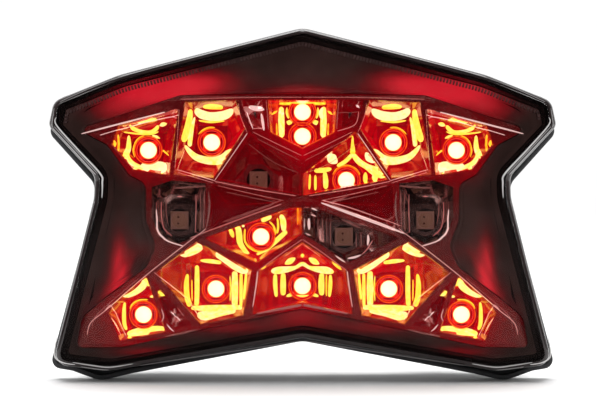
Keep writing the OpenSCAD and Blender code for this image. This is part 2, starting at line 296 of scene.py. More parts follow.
def lathe(bm, centre, profile, count=40):
    """Adds a turned shape round the depth axis. profile is (radius, depth) from one end to the other."""
    cx, cz = centre
    rings = []
    for r, depth in profile:
        if r < 1e-6:
            rings.append([bm.verts.new(place(cx, depth, cz))])
            continue
        ring = []
        for k in range(count):
            a = 2 * math.pi * k / count
            ring.append(bm.verts.new(place(cx + r * math.cos(a), depth, cz + r * math.sin(a))))
        rings.append(ring)
    faces = []
    for low, high in zip(rings, rings[1:]):
        for k in range(count):
            j = (k + 1) % count
            if len(low) == 1:
                faces.append(bm.faces.new((low[0], high[j], high[k])))
            elif len(high) == 1:
                faces.append(bm.faces.new((low[k], low[j], high[0])))
            else:
                faces.append(bm.faces.new((low[k], low[j], high[j], high[k])))
    return faces


def disc(r, low, high):
    """Section of a disc between two depths, for lathe."""
    return [(0.0, low), (r, low), (r, high), (0.0, high)]


def bridge(bm, a, b):
    """Quads between two rings of the same length."""
    n = len(a)
    return [bm.faces.new((a[i], a[(i + 1) % n], b[(i + 1) % n], b[i])) for i in range(n)]


# ---------------------------------------------------------------- materials


def material(name, color, rough, metal=0.0, **sockets):
    """A Principled material: constants on its own sockets. Returns the material and its shader node."""
    m = bpy.data.materials.new(name)
    m.use_nodes = True
    b = m.node_tree.nodes["Principled BSDF"]
    b.inputs["Base Color"].default_value = (*color, 1)
    b.inputs["Roughness"].default_value = rough
    b.inputs["Metallic"].default_value = metal
    for key, value in sockets.items():
        b.inputs[key.replace("_", " ")].default_value = value
    m.diffuse_color = (*color, 1)
    return m, b


def add(m, kind, **props):
    """A new node in the material, with plain values on its inputs."""
    n = m.node_tree.nodes.new(kind)
    for key, value in props.items():
        if hasattr(n, key):
            setattr(n, key, value)
        else:
            n.inputs[key.replace("_", " ")].default_value = value
    return n


def link(m, a, b):
    m.node_tree.links.new(a, b)


def noise(m, scale, detail=4.0, rough=0.5):
    """A noise in object space, so that it doesn't depend on UVs. scale is in cycles a metre."""
    coords = add(m, "ShaderNodeTexCoord")
    n = add(m, "ShaderNodeTexNoise", Scale=scale, Detail=detail, Roughness=rough)
    link(m, coords.outputs["Object"], n.inputs["Vector"])
    return n.outputs["Fac"]


def ramp(m, source, stops):
    """A colour ramp over a value. stops is a list of (place, colour or grey)."""
    r = add(m, "ShaderNodeValToRGB")
    r.color_ramp.interpolation = "LINEAR"
    elements = r.color_ramp.elements
    elements.remove(elements[1])
    elements[0].position = stops[0][0]
    for k, (at, c) in enumerate(stops):
        e = elements.new(at) if k else elements[0]
        e.color = (*c, 1) if hasattr(c, "__len__") else (c, c, c, 1)
    link(m, source, r.inputs["Fac"])
    return r.outputs["Color"]


def paint(m, b, socket, source, stops):
    """Drives a socket of the shader from a value, through a ramp."""
    link(m, ramp(m, source, stops), b.inputs[socket])


def bumped(m, b, source, strength, depth):
    """Raises the surface by a value, with a depth in mm."""
    bump = add(m, "ShaderNodeBump", Strength=strength, Distance=depth * MM)
    link(m, source, bump.inputs["Height"])
    link(m, bump.outputs["Normal"], b.inputs["Normal"])


def grained(name, color, rough, metal=0.0, grain=900.0, depth=0.02, spread=0.12, tone=0.25, **sockets):
    """A moulded or worked surface: fine grain in its bump, and slow variation in its tone and gloss."""
    m, b = material(name, color, rough, metal, **sockets)
    slow = noise(m, grain / 30, 3.0)
    low = [c * (1 - tone) for c in color]
    high = [min(1.0, c * (1 + tone)) for c in color]
    gloss = [(0.25, max(0.02, rough - spread)), (0.75, min(1.0, rough + spread))]
    paint(m, b, "Base Color", slow, [(0.3, low), (0.7, high)])
    paint(m, b, "Roughness", slow, gloss)
    bumped(m, b, noise(m, grain, 5.0, 0.6), 0.35, depth)
    return m


def glowing(m, b, attribute, stops, strength):
    """Lights the material from a value stored on the mesh, with a little unevenness."""
    value = add(m, "ShaderNodeAttribute", attribute_name=attribute)
    uneven = noise(m, 700.0, 3.0)
    spread = add(m, "ShaderNodeMath", operation="MULTIPLY_ADD")
    spread.inputs[1].default_value = 0.16
    spread.inputs[2].default_value = -0.08
    link(m, uneven, spread.inputs[0])
    total = add(m, "ShaderNodeMath", operation="ADD")
    link(m, value.outputs["Fac"], total.inputs[0])
    link(m, spread.outputs[0], total.inputs[1])
    paint(m, b, "Emission Color", total.outputs[0], stops)
    b.inputs["Emission Strength"].default_value = strength


# Light on the reflector, from dark through red and yellow to nearly white
PAINTED_GLOW = [
    (0.08, (0.0, 0.0, 0.0)), (0.22, (0.05, 0.0, 0.001)), (0.38, (0.17, 0.0, 0.003)),
    (0.54, (0.36, 0.0, 0.005)), (0.66, (0.62, 0.006, 0.004)), (0.74, (0.95, 0.24, 0.005)),
    (0.80, (1.0, 0.60, 0.02)), (0.87, (1.0, 0.82, 0.05)), (0.94, (1.0, 0.96, 0.14)), (1.0, (1.0, 1.0, 0.5)),
]
# Glow of the red light on the dark bezel
GLOW = [
    (0.06, (0.012, 0.009, 0.008)), (0.3, (0.040, 0.004, 0.005)), (0.62, (0.20, 0.003, 0.008)),
    (0.95, (0.60, 0.012, 0.030)),
]


def chrome_material():
    m, b = material("metallised_reflector", (0.62, 0.52, 0.50), 0.12, 1.0)
    bumped(m, b, noise(m, 2500.0, 4.0), 0.15, 0.01)
    slow = noise(m, 160.0, 3.0)
    paint(m, b, "Roughness", slow, [(0.3, 0.06), (0.7, 0.2)])
    # Painted light: where the lit LEDs shine, the base colour turns from brown grey chrome to deep red and
    # the surface glows red to yellow white, by a value stored on the mesh
    value = add(m, "ShaderNodeAttribute", attribute_name="painted_light")
    chrome_to_painted_red = [(0.1, (0.46, 0.37, 0.35)), (0.35, (0.24, 0.03, 0.03))]
    paint(m, b, "Base Color", value.outputs["Fac"], chrome_to_painted_red)
    glowing(m, b, "painted_light", PAINTED_GLOW, 4.2)
    return m


def bezel_material():
    m, b = material("bezel_smoked", (0.27, 0.20, 0.19), 0.42, 0.0)
    bumped(m, b, noise(m, 3200.0, 5.0, 0.7), 0.25, 0.015)
    slow = noise(m, 75.0, 2.0)
    browns = [(0.3, (0.12, 0.085, 0.08)), (0.5, (0.23, 0.175, 0.165)), (0.72, (0.36, 0.29, 0.27))]
    paint(m, b, "Base Color", slow, browns)
    glowing(m, b, "glow", GLOW, 3.0)
    return m


def lens_material():
    """Smoked clear plastic: a tinted clear film under a polished skin, so that lamps shine through it."""
    m, b = material("lens_smoked", (0.012, 0.008, 0.008), 0.04, 0.0, IOR=1.49)
    nodes = m.node_tree.nodes
    out = nodes["Material Output"]
    clear = add(m, "ShaderNodeBsdfTransparent", Color=(0.62, 0.53, 0.52, 1))
    facing = add(m, "ShaderNodeLayerWeight", Blend=0.18)
    share = ramp(m, facing.outputs["Facing"], [(0.0, 0.08), (0.55, 0.16), (0.85, 0.55), (1.0, 0.95)])
    mix = add(m, "ShaderNodeMixShader")
    link(m, share, mix.inputs["Fac"])
    link(m, clear.outputs[0], mix.inputs[1])
    link(m, b.outputs[0], mix.inputs[2])
    link(m, mix.outputs[0], out.inputs["Surface"])
    haze = noise(m, 45.0, 2.0)
    paint(m, b, "Roughness", haze, [(0.3, 0.03), (0.7, 0.08)])
    return m


def rim_material():
    """The thick rim of the lens, where the smoke is nearly black."""
    m, b = material("lens_rim_black", (0.016, 0.010, 0.010), 0.07, 0.0, IOR=1.45)
    slow = noise(m, 60.0, 2.0)
    paint(m, b, "Base Color", slow, [(0.3, (0.012, 0.007, 0.007)), (0.7, (0.024, 0.015, 0.015))])
    paint(m, b, "Roughness", slow, [(0.3, 0.05), (0.7, 0.12)])
    return m


def lit_resin_material():
    m, b = material("led_lit_core", (1.0, 0.55, 0.3), 0.2)
    facing = add(m, "ShaderNodeLayerWeight", Blend=0.4)
    stops = [
        (0.0, (1.0, 1.0, 0.80)), (0.25, (1.0, 1.0, 0.50)), (0.55, (1.0, 0.85, 0.12)),
        (0.9, (0.9, 0.25, 0.01)),
    ]
    paint(m, b, "Emission Color", facing.outputs["Facing"], stops)
    slow = noise(m, 900.0, 2.0)
    paint(m, b, "Emission Strength", slow, [(0.2, 4.2), (0.8, 5.0)])
    return m


def lit_body_material():
    m, b = material("led_lit_body", (0.7, 0.05, 0.03), 0.4)
    slow = noise(m, 1200.0, 2.0)
    paint(m, b, "Emission Color", slow, [(0.2, (0.62, 0.004, 0.004)), (0.8, (0.8, 0.02, 0.006))])
    b.inputs["Emission Strength"].default_value = 2.6
    return m


def painted_glow_plastic(name, color, rough, glow):
    """Pale plastic in the lamp, with a painted glow that stands for the light it takes up from round it."""
    m = grained(name, color, rough, grain=3500.0, tone=0.12)
    b = m.node_tree.nodes["Principled BSDF"]
    slow = noise(m, 700.0, 2.0)
    low, high = [c * 0.8 for c in glow], [c * 1.2 for c in glow]
    paint(m, b, "Emission Color", slow, [(0.3, low), (0.7, high)])
    b.inputs["Emission Strength"].default_value = 1.0
    return m


def edge_material():
    m, b = material("lens_edge_highlight", (0.03, 0.025, 0.025), 0.1, 0.0, IOR=1.49)
    slow = noise(m, 260.0, 3.0)
    paint(m, b, "Roughness", slow, [(0.3, 0.06), (0.7, 0.2)])
    # Painted highlight: the beads glow from dark to pale grey by the brightness stored on them
    stops = [(0.2, (0.02, 0.02, 0.02)), (0.5, (0.16, 0.15, 0.15)), (1.0, (0.85, 0.83, 0.82))]
    glowing(m, b, "painted_light", stops, 0.6)
    return m


def glint_material():
    m, b = material("reflector_glint", (0.8, 0.74, 0.72), 0.12, 1.0)
    slow = noise(m, 260.0, 3.0)
    paint(m, b, "Roughness", slow, [(0.3, 0.06), (0.7, 0.2)])
    # Painted highlight: the beads glow from dark red to pink white by the brightness stored on them
    stops = [
        (0.2, (0.02, 0.01, 0.01)), (0.38, (0.14, 0.06, 0.055)), (0.6, (0.55, 0.22, 0.22)),
        (0.9, (1.0, 0.88, 0.86)),
    ]
    glowing(m, b, "painted_light", stops, 2.4)
    return m


def flute_material():
    m, b = material("lens_flute", (0.10, 0.075, 0.075), 0.25, 0.0, IOR=1.49)
    slow = noise(m, 500.0, 2.0)
    paint(m, b, "Base Color", slow, [(0.3, (0.07, 0.05, 0.05)), (0.7, (0.13, 0.095, 0.095))])
    return m


MAT = {
    "chrome": chrome_material(),
    "bezel": bezel_material(),
    "lens": lens_material(),
    "rim": rim_material(),
    "lit_core": lit_resin_material(),
    "lit_body": lit_body_material(),
    "glint": glint_material(),
    "flute": flute_material(),
    "edge": edge_material(),
    "housing": grained("housing_black_plastic", (0.018, 0.018, 0.02), 0.52, grain=2600.0, depth=0.05),
    "seal": grained("butyl_sealant", (0.012, 0.012, 0.013), 0.7, grain=1500.0, depth=0.08),
    "board": grained("board_white", (0.62, 0.60, 0.55), 0.42, grain=1200.0, tone=0.06),
    "led_body": painted_glow_plastic("led_body_tan", (0.60, 0.50, 0.43), 0.45, (0.20, 0.11, 0.08)),
    "turn_resin": painted_glow_plastic("turn_resin", (0.50, 0.39, 0.28), 0.3, (0.23, 0.13, 0.09)),
    "contact": grained("led_contact", (0.18, 0.10, 0.07), 0.35, 0.8, grain=4000.0),
    "epoxy": grained("component_epoxy", (0.028, 0.028, 0.03), 0.5, grain=3000.0),
    "can": grained("capacitor_can", (0.58, 0.60, 0.62), 0.28, 1.0, grain=1500.0, tone=0.08),
    "socket": grained("socket_nylon", (0.026, 0.026, 0.03), 0.48, grain=2800.0, depth=0.04),
    "terminal": grained("terminal_brass", (0.76, 0.60, 0.30), 0.22, 1.0, grain=2000.0, tone=0.1),
    "rubber": grained("black_rubber", (0.020, 0.020, 0.021), 0.72, grain=2200.0, depth=0.06),
    "screw": grained("zinc_plated", (0.62, 0.61, 0.58), 0.26, 1.0, grain=2400.0, tone=0.1),
    "insert": grained("turned_brass", (0.72, 0.55, 0.26), 0.24, 1.0, grain=2600.0, tone=0.1),
    "membrane": grained("felt_membrane", (0.80, 0.79, 0.76), 0.9, grain=5000.0, depth=0.08),
}

# ---------------------------------------------------------------- reflector

# Cells of the reflector, as in part.scad: the corners of the right hand ones, clockwise from the front.
CELL_CENTRE_TOP = [(-9.7, 28.8), (9.7, 28.8), (9.0, 19.6), (0, 15.0), (-9.0, 19.6)]
CELL_CENTRE_LOW = [(0, -10.4), (11.9, -17.7), (14.0, -30.7), (0, -27.4)]
CELL_BROW = [(34.0, 26.6), (51.2, 21.6), (53.0, 16.4), (46.9, 9.2), (36.6, 7.6)]
CELL_UPPER = [(18.3, 28.7), (32.6, 28.2), (35.8, 7.9), (24.3, 6.9), (15.5, 20.8)]
CELL_MIDDLE = [(0, 8.4), (14.6, 20.2), (23.9, 6.5), (0, 2.0)]
CELL_WING = [(26.3, 6.0), (36.2, 6.8), (42, 4.9), (42, -4), (39.2, -9.8), (34, -11.3), (26.6, -8.4)]
CELL_WING_TIP = [(4.9, 0.6), (25.3, 5.8), (25.6, -7.9)]
CELL_LOWER = [(0, -0.8), (3.5, -0.8), (27.7, -9.4), (12.7, -16.5), (0, -8.6)]
CELL_FLANK = [(29.2, -10.2), (40.9, -19.0), (28, -33.4), (16.2, -30.9), (13.7, -18.2)]
CELL_FOOT = [(43.0, -19.5), (51.8, -26.9), (53.7, -30.3), (50.6, -38.2), (37.5, -35.3)]
CELL_GLINT_TOP = [(10.8, 28.6), (17.0, 28.6), (16.6, 26.2), (14.6, 21.9), (10.4, 20.2)]
CELL_GLINT_LOW = [(41.7, -20.6), (36.6, -34.6), (30.0, -33.6)]

WALL_TOP = 0.5  # how far below the ridge tops the pockets start, in mm
COLLAR_R = 4.3  # radius round an LED that the walls of its pocket keep clear of
CHAMFER = 0.25  # width of the chamfer on each side of a ridge
APRON_SLOPE = 1.5  # slope of the band between a pocket's wall and its floor
APRON_REACH = 4.4  # how far that band comes in
RIDGE_HALF = 0.1  # half the flat top of a ridge
CROWN_DROP = 420.0  # radius that the ridge tops follow from side to side
LINE = 0.13  # width of the creases between facets

tail_leds = islands("tail_led_windows")
left_turn = islands("left_turn_led_windows")
right_turn = islands("right_turn_led_windows")
LIT = [Vector((x, z)) for x, _, z in tail_leds]


def height_to_depth(x, h):
    """Depth of a point of the reflector: ridges sink towards the sides, floors don't."""
    full = RIDGE - FLOOR
    return FLOOR + h * (1 - x * x / (2 * CROWN_DROP) / full)


def led_light_share(x, z, reach=9.0):
    """How much light of the lit LEDs falls on a place of the front view, from 0 to 1."""
    total = sum(math.exp(-((x - p.x) ** 2 + (z - p.y) ** 2) / reach**2) for p in LIT)
    return min(1.0, total)


def edge_lines(corners, open_side):
    """Each edge of a clockwise cell as (point, inward normal), or None on the mirror plane."""
    n = len(corners)
    lines = []
    for i in range(n):
        a = Vector(corners[i])
        b = Vector(corners[(i + 1) % n])
        if open_side and abs(a.x) < 1e-6 and abs(b.x) < 1e-6:
            lines.append(None)
            continue
        d = (b - a).normalized()
        lines.append((a, Vector((d.y, -d.x))))
    return lines


def moved_corners(corners, lines, d):
    """Corners where every edge has moved inwards by d, and an open side has stayed."""
    n = len(corners)
    out = []
    for i in range(n):
        sides = []
        for line, start in ((lines[i - 1], corners[i - 1]), (lines[i], corners[i])):
            if line is None:
                sides.append((Vector(start), Vector((1.0, 0.0)), 0.0))
            else:
                sides.append((line[0], line[1], d))
        (p, m, s), (q, k, t) = sides
        c1 = m.dot(p) + s
        c2 = k.dot(q) + t
        det = m.x * k.y - m.y * k.x
        out.append(Vector(((c1 * k.y - c2 * m.y) / det, (m.x * c2 - k.x * c1) / det)))
    return out


def clip(polygon, a, b, c):
    """The part of a convex polygon where a*x + b*z + c is not negative."""
    out = []
    n = len(polygon)
    for i in range(n):
        p = polygon[i]
        q = polygon[(i + 1) % n]
        fp = a * p.x + b * p.y + c
        fq = a * q.x + b * q.y + c
        if fp >= 0:
            out.append(p)
        if (fp > 0 > fq) or (fp < 0 < fq):
            out.append(p + (q - p) * (fp / (fp - fq)))
    return out


# Steps up at the sides of an LED: where each starts, in mm from it, and its angle in degrees
SIDE_STEPS = ((4.3, 14), (5.6, 28), (6.9, 40), (8.2, 50), (9.5, 58))
STEP_PITCH = 1.3
# The slopes over and under an LED: where each starts, its angle, and its name
END_SLOPES = ((4.6, 30, "sill"), (7.2, 52, "roof"))


def pocket_planes(lines, leds, draft, top):
    """Planes as (slope x, slope z, height at 0, kind). The highest at each place is the pocket."""
    planes = [(0.0, 0.0, 0.0, "floor")]
    for line in lines:
        if line is None:
            continue
        p, inward = line
        room = min([inward.dot(led - p) - COLLAR_R for led in leds] + [APRON_REACH])
        room = max(0.4, room)
        steep = max(1 / math.tan(math.radians(draft)), top / room)
        for slope, start, kind in ((steep, top, "wall"), (APRON_SLOPE, APRON_SLOPE * room, "apron")):
            planes.append((-slope * inward.x, -slope * inward.y, start + slope * inward.dot(p), kind))
    for led in leds:
        rise = 0.0
        for k, (near, angle) in enumerate(SIDE_STEPS):
            slope = math.tan(math.radians(angle))
            for side in (-1, 1):
                const = rise - slope * (near + side * led.x)
                planes.append((side * slope, 0.0, const, f"flute{k}"))
            rise += slope * STEP_PITCH
        for near, angle, kind in END_SLOPES:
            slope = math.tan(math.radians(angle))
            lift = 0.0 if kind == "sill" else 2.6 * math.tan(math.radians(30))
            for side in (-1, 1):
                spread = [led.y] if len(leds) == 1 else [q.y for q in leds]
                edge = max(spread) if side > 0 else min(spread)
                const = lift - slope * (near + side * edge)
                planes.append((0.0, side * slope, const, kind))
    return planes


def facet_painted_glow(kind, centre, leds, lit, rng):
    """Painted red glow of a facet: strong near the LED, dull far from it. Unlit cells have none."""
    if not lit:
        return 0.0
    away = min((centre - led).length for led in leds)
    base = 0.57 - 0.012 * away
    if kind == "floor":
        base = 0.52
    elif kind == "wall":
        base -= 0.04
    return base + rng.uniform(-0.07, 0.05)


POCKETS = []  # every pocket as (corners of its lip, planes, mirrored), for pocket_height


def pocket_height(x, z):
    """Height of the reflector's surface over its floor at a place of the front view, or None on a ridge."""
    for lip, planes, mirror in POCKETS:
        p = Vector((-x if mirror else x, z))
        n = len(lip)
        inside = True
        for i in range(n):
            a, b = lip[i], lip[(i + 1) % n]
            d = b - a
            if (p - a).dot(Vector((d.y, -d.x))) < 0:
                inside = False
                break
        if inside:
            return max(a * p.x + b * p.y + c for a, b, c, _ in planes)
    return None


def add_pocket(bm, painted_light_layer, corners, leds, lit, draft=9.0, glow=0.0, mirror=False, open_side=False, seed=0):
    """Cuts one faceted pocket: its facets and its chamfer. Returns the corners of its mouth on the skin."""
    rng = random.Random(seed)
    flip = -1.0 if mirror else 1.0
    leds = [Vector((flip * p.x, p.y)) for p in leds]
    lines = edge_lines(corners, open_side)
    mouth = moved_corners(corners, lines, RIDGE_HALF)
    lip = moved_corners(corners, lines, RIDGE_HALF + CHAMFER)
    full = RIDGE - FLOOR
    top = full - WALL_TOP
    walls = [None if line is None else (lip[i], line[1]) for i, line in enumerate(lines)]
    planes = pocket_planes(walls, leds, draft, top)
    POCKETS.append((lip, planes, mirror))

    def world(p, h):
        return bm.verts.new(place(flip * p.x, height_to_depth(p.x, h), p.y))

    def add_face(points, values):
        verts = [world(p, h) for p, h in points]
        if mirror:
            verts.reverse()
            values = values[::-1]
        face = bm.faces.new(verts)
        for loop, value in zip(face.loops, values):
            loop[painted_light_layer] = value
        return face

    for index, (a, b, c, kind) in enumerate(planes):
        region = [p.copy() for p in lip]
        for j, (a2, b2, c2, _) in enumerate(planes):
            if j != index:
                region = clip(region, a - a2, b - b2, c - c2 + (1e-7 if index < j else -1e-7))
            if len(region) < 3:
                break
        if len(region) < 3:
            continue
        tidy = [p for i, p in enumerate(region) if (p - region[i - 1]).length > 2e-3]
        if len(tidy) < 3:
            continue
        centre = sum(tidy, Vector((0.0, 0.0))) / len(tidy)
        # Painted light: a facet of a lit cell glows by its distance from the LED, the creases round it glow
        # less as painted shade, and the glow fades away from the facet's centre; an unlit cell glows by glow,
        # with creases as bright as its facets
        base = facet_painted_glow(kind, centre, leds, lit, rng) if lit else glow
        crease = base - 0.12 if lit else glow
        height = [a * p.x + b * p.y + c for p in tidy]
        inner = inset(tidy, LINE)
        area = sum(inner[i - 1].x * inner[i].y - inner[i].x * inner[i - 1].y for i in range(len(inner))) / 2
        turned = any(
            (inner[i] - inner[i - 1]).dot(tidy[i] - tidy[i - 1]) <= 0 for i in range(len(inner))
        )
        if area > -0.15 or turned:
            add_face([(p, h) for p, h in zip(tidy, height)], [0.5 * (base + crease)] * len(tidy))
            continue
        inner_height = [a * p.x + b * p.y + c for p in inner]
        fade = [base - 0.01 * (p - centre).length for p in inner]
        add_face(list(zip(inner, inner_height)), fade)
        for i in range(len(tidy)):
            j = (i + 1) % len(tidy)
            outer_side = [(tidy[i], height[i]), (tidy[j], height[j])]
            inner_side = [(inner[j], inner_height[j]), (inner[i], inner_height[i])]
            add_face(outer_side + inner_side, [crease] * 4)
    n = len(lip)
    for i in range(n):
        if lines[i] is None:
            continue
        j = (i + 1) % n
        quad = [(mouth[i], full), (mouth[j], full), (lip[j], top), (lip[i], top)]
        add_face(quad, [ridge_painted_glow(flip * p.x, p.y) for p, _ in quad])
    return [Vector((flip * p.x, p.y)) for p in (mouth[::-1] if mirror else mouth)]


def ridge_painted_glow(x, z):
    """Painted red glow of the ridges and the front skin, stronger near the lit LEDs."""
    return 0.16 + 0.36 * led_light_share(x, z, 9.0)


def pan_radius(angle, pan, chamber):
    """The pan's edge in a direction, kept inside the housing's chamber."""
    return min(radius_at(pan, angle), radius_at(chamber, angle) - 0.5)


CHAMBER_HALF = [
    ((0, 43.0), 6), ((49.4, 30.4), 8), ((63.6, 25.0), 4), ((52.3, 9.0), 4), ((52.3, 1.0), 5),
    ((62.2, -39.8), 4), ((52, -41.4), 6), ((0, -31.7), 8),
]
RIM_DEPTH = 40.0  # depth of the back of the pan's rim


def build_reflector():
    """The metallised pan: faceted pockets, ridges, rim and back, as one closed moulding."""
    bm = bmesh.new()
    # painted light: each corner of the pan carries a glow value that the chrome material shows as red to
    # yellow glow
    painted_light_layer = bm.loops.layers.float.new("painted_light")
    holes = []
    turn = {"L": [Vector((x, z)) for x, _, z in left_turn], "R": [Vector((x, z)) for x, _, z in right_turn]}
    everything = LIT + turn["L"] + turn["R"]

    def inside(corners, p):
        lines = edge_lines(corners, False)
        return all(inward.dot(p - q) > 0 for q, inward in lines)

    def leds_in(corners, mirror):
        flip = -1 if mirror else 1
        return [p for p in everything if inside(corners, Vector((flip * p.x, p.y)))]

    def cell(corners, seed, draft=9.0, sides=(False, True), glow=0.0):
        for mirror in sides:
            found = leds_in(corners, mirror)
            lit = any(p in LIT for p in found)
            mouth = add_pocket(bm, painted_light_layer, corners, found, lit, draft, glow, mirror=mirror, seed=seed + mirror)
            holes.append(mouth)

    cell(CELL_CENTRE_TOP, 11, 6.0, sides=(False,))
    cell(CELL_BROW, 20, 11.0)
    cell(CELL_UPPER, 30, 11.0)
    cell(CELL_MIDDLE, 40, 5.0, glow=0.26)
    cell(CELL_WING, 50, 8.0)
    cell(CELL_WING_TIP, 60, 30.0, glow=0.25)
    cell(CELL_LOWER, 70, 6.0, glow=0.12)
    cell(CELL_FLANK, 80, 12.0)
    cell(CELL_FOOT, 90, 9.0)
    cell(CELL_GLINT_TOP, 100, 18.0, glow=0.26)
    cell(CELL_GLINT_LOW, 110, 18.0, glow=0.26)

    # the lower centre cell is two halves that meet on the mirror plane
    centre_led = [p for p in LIT if abs(p.x) < 0.1 and p.y < 0]
    halves = [
        add_pocket(
            bm, painted_light_layer, CELL_CENTRE_LOW, centre_led, True, 7.0, mirror=mirror, open_side=True, seed=120 + mirror
        )
        for mirror in (False, True)
    ]
    on_plane = sorted((p for p in halves[0] if abs(p.x) < 1e-6), key=lambda p: -p.y)
    right, left = ([p for p in half if abs(p.x) > 1e-6] for half in halves)
    right.sort(key=lambda p: -p.y)
    left.sort(key=lambda p: p.y)
    holes.append([on_plane[0]] + right + [on_plane[-1]] + left)

    pan = outline(PAN_HALF)
    chamber = outline(CHAMBER_HALF, 2.2)
    angles = directions(pan, chamber, step=2.0)
    rim = [Vector((math.cos(t), math.sin(t))) * radius_at(pan, t) for t in angles]
    core = [Vector((math.cos(t), math.sin(t))) * pan_radius(t, pan, chamber) for t in angles]
    full = RIDGE - FLOOR
    loops = [rim] + holes
    flat = [p for loop in loops for p in loop]
    verts = [bm.verts.new(place(p.x, height_to_depth(p.x, full), p.y)) for p in flat]
    for tri in tessellate_polygon([[Vector((p.x, p.y, 0)) for p in loop] for loop in loops]):
        face = bm.faces.new([verts[i] for i in tri])
        face.normal_update()
        if face.normal.y > 0:
            face.normal_flip()
        for loop in face.loops:
            p = loop.vert.co / MM
            loop[painted_light_layer] = ridge_painted_glow(p.x, p.z)
    top_ring = verts[: len(rim)]
    mid = [bm.verts.new(place(p.x, RIM_DEPTH, p.y)) for p in rim]
    step = [bm.verts.new(place(p.x, RIM_DEPTH, p.y)) for p in core]
    back = [bm.verts.new(place(p.x, FLOOR_BACK, p.y)) for p in core]
    for a, b in ((top_ring, mid), (mid, step), (step, back)):
        for face in bridge(bm, a, b):
            for loop in face.loops:
                loop[painted_light_layer] = 0.1
    bm.faces.new(back)
    bmesh.ops.remove_doubles(bm, verts=bm.verts, dist=4e-6)
    bmesh.ops.dissolve_degenerate(bm, dist=4e-6, edges=bm.edges)
    bmesh.ops.holes_fill(bm, edges=[e for e in bm.edges if len(e.link_faces) == 1], sides=0)
    finished("reflector_pan", bm, [MAT["chrome"]], "reflector")


def build_collars():
    """The raised ring round the opening of each lit LED, with a painted red and orange glow on it."""
    bm = bmesh.new()
    painted_light_layer = bm.loops.layers.float.new("painted_light")
    for x, _, z in tail_leds:
        profile = [
            (3.1, FLOOR - 0.6), (3.15, FLOOR + 0.9), (3.45, FLOOR + 1.2), (3.7, FLOOR + 1.25),
            (3.9, FLOOR + 1.2), (4.2, FLOOR - 0.6), (3.1, FLOOR - 0.6),
        ]
        for face in lathe(bm, (x, z), profile, 48):
            mid = face.calc_center_median() / MM
            r = math.hypot(mid.x - x, mid.z - z)
            for loop in face.loops:
                # painted light: red on the inner wall, an orange line round the top, dimmer red on the outer
                # side
                loop[painted_light_layer] = 0.58 if r < 3.6 else (0.70 if r < 3.85 else 0.5)
    bmesh.ops.remove_doubles(bm, verts=bm.verts, dist=1e-6)
    finished("led_collars", bm, [MAT["chrome"]], smooth=60)


# ---------------------------------------------------------------- painted highlights in the lit cells

# Polished bands in the lit cells, whose glow paints the highlights of the LEDs' light, each as (brightness,
# line of (x, z, width)). Places are in mm from the LED, as the left hand cell has them.
BANDS_BROW = [
    (0.95, [(-5.4, 4.1, 0.5), (-5.5, 1.0, 1.1), (-5.9, -1.6, 1.2), (-4.4, -4.2, 1.8), (-1.2, -5.6, 1.5)]),
    (1.00, [(-2.2, -4.5, 1.2), (0.8, -4.7, 2.4), (3.6, -4.9, 2.8), (5.4, -4.9, 1.6)]),
    (0.88, [(-1.5, -6.0, 0.7), (2.0, -6.7, 0.9), (4.6, -6.6, 0.5)]),
    (0.84, [(-8.9, 4.8, 0.4), (-9.0, 2.2, 0.6), (-8.6, 0.2, 0.4)]),
    (0.80, [(-8.0, 4.2, 0.3), (-8.0, 1.0, 0.4), (-7.6, -1.4, 0.4)]),
    (0.93, [(-4.9, 7.2, 0.5), (-4.2, 6.1, 0.9), (-2.4, 5.3, 0.8), (0.4, 5.1, 0.7), (2.0, 5.8, 0.9),
            (2.9, 6.9, 0.7)]),
    (0.95, [(-2.6, 7.4, 0.4), (-0.8, 8.0, 0.9), (1.2, 8.3, 0.8), (2.9, 8.4, 0.3)]),
    (0.90, [(-6.7, 5.0, 0.3), (-3.0, 4.6, 0.4), (0.6, 4.5, 0.4), (2.8, 5.2, 0.3)]),
    (0.94, [(1.0, 4.2, 0.4), (2.2, 3.8, 0.6), (3.2, 3.3, 0.3)]),
    (0.96, [(3.2, 6.8, 0.5), (4.2, 7.2, 0.9), (5.2, 7.4, 0.5)]),
    (0.86, [(3.1, 0.7, 0.25), (4.5, -0.4, 0.35), (6.0, -1.6, 0.25)]),
    (0.80, [(-3.9, -1.9, 0.2), (-4.3, 0.0, 0.3), (-3.7, 2.2, 0.3), (-2.6, 3.5, 0.3), (-1.2, 4.1, 0.2)]),
]
BANDS_UPPER = [
    (0.91, [(-5.7, 9.1, 0.8), (-6.0, 6.5, 1.2), (-6.6, 3.6, 1.3), (-7.2, 1.4, 1.3), (-7.7, 0.0, 0.8)]),
    (0.96, [(-4.7, 7.0, 0.4), (-5.4, 4.0, 0.8), (-5.9, 1.0, 1.0), (-6.1, -1.2, 0.9)]),
    (0.97, [(-7.3, -0.9, 0.5), (-6.1, -2.6, 1.1), (-4.4, -4.1, 1.5), (-2.0, -4.9, 1.7),
            (0.4, -5.2, 1.8), (3.0, -4.7, 2.2),
            (4.9, -3.2, 1.9), (5.8, -2.1, 0.6)]),
    (1.00, [(-4.4, 9.2, 1.2), (-3.0, 7.9, 1.9), (-0.3, 7.2, 1.9), (3.0, 7.4, 2.0), (5.0, 8.2, 1.7),
            (6.0, 9.2, 0.8)]),
    (0.86, [(-2.2, 9.7, 0.6), (0.2, 9.8, 1.1), (3.3, 9.6, 0.8)]),
    (0.90, [(-3.6, 6.1, 0.3), (-0.2, 5.7, 0.5), (3.6, 6.0, 0.3)]),
    (0.80, [(-3.7, 2.3, 0.2), (-2.6, 3.4, 0.3), (-0.8, 4.2, 0.3), (0.9, 4.2, 0.2)]),
]
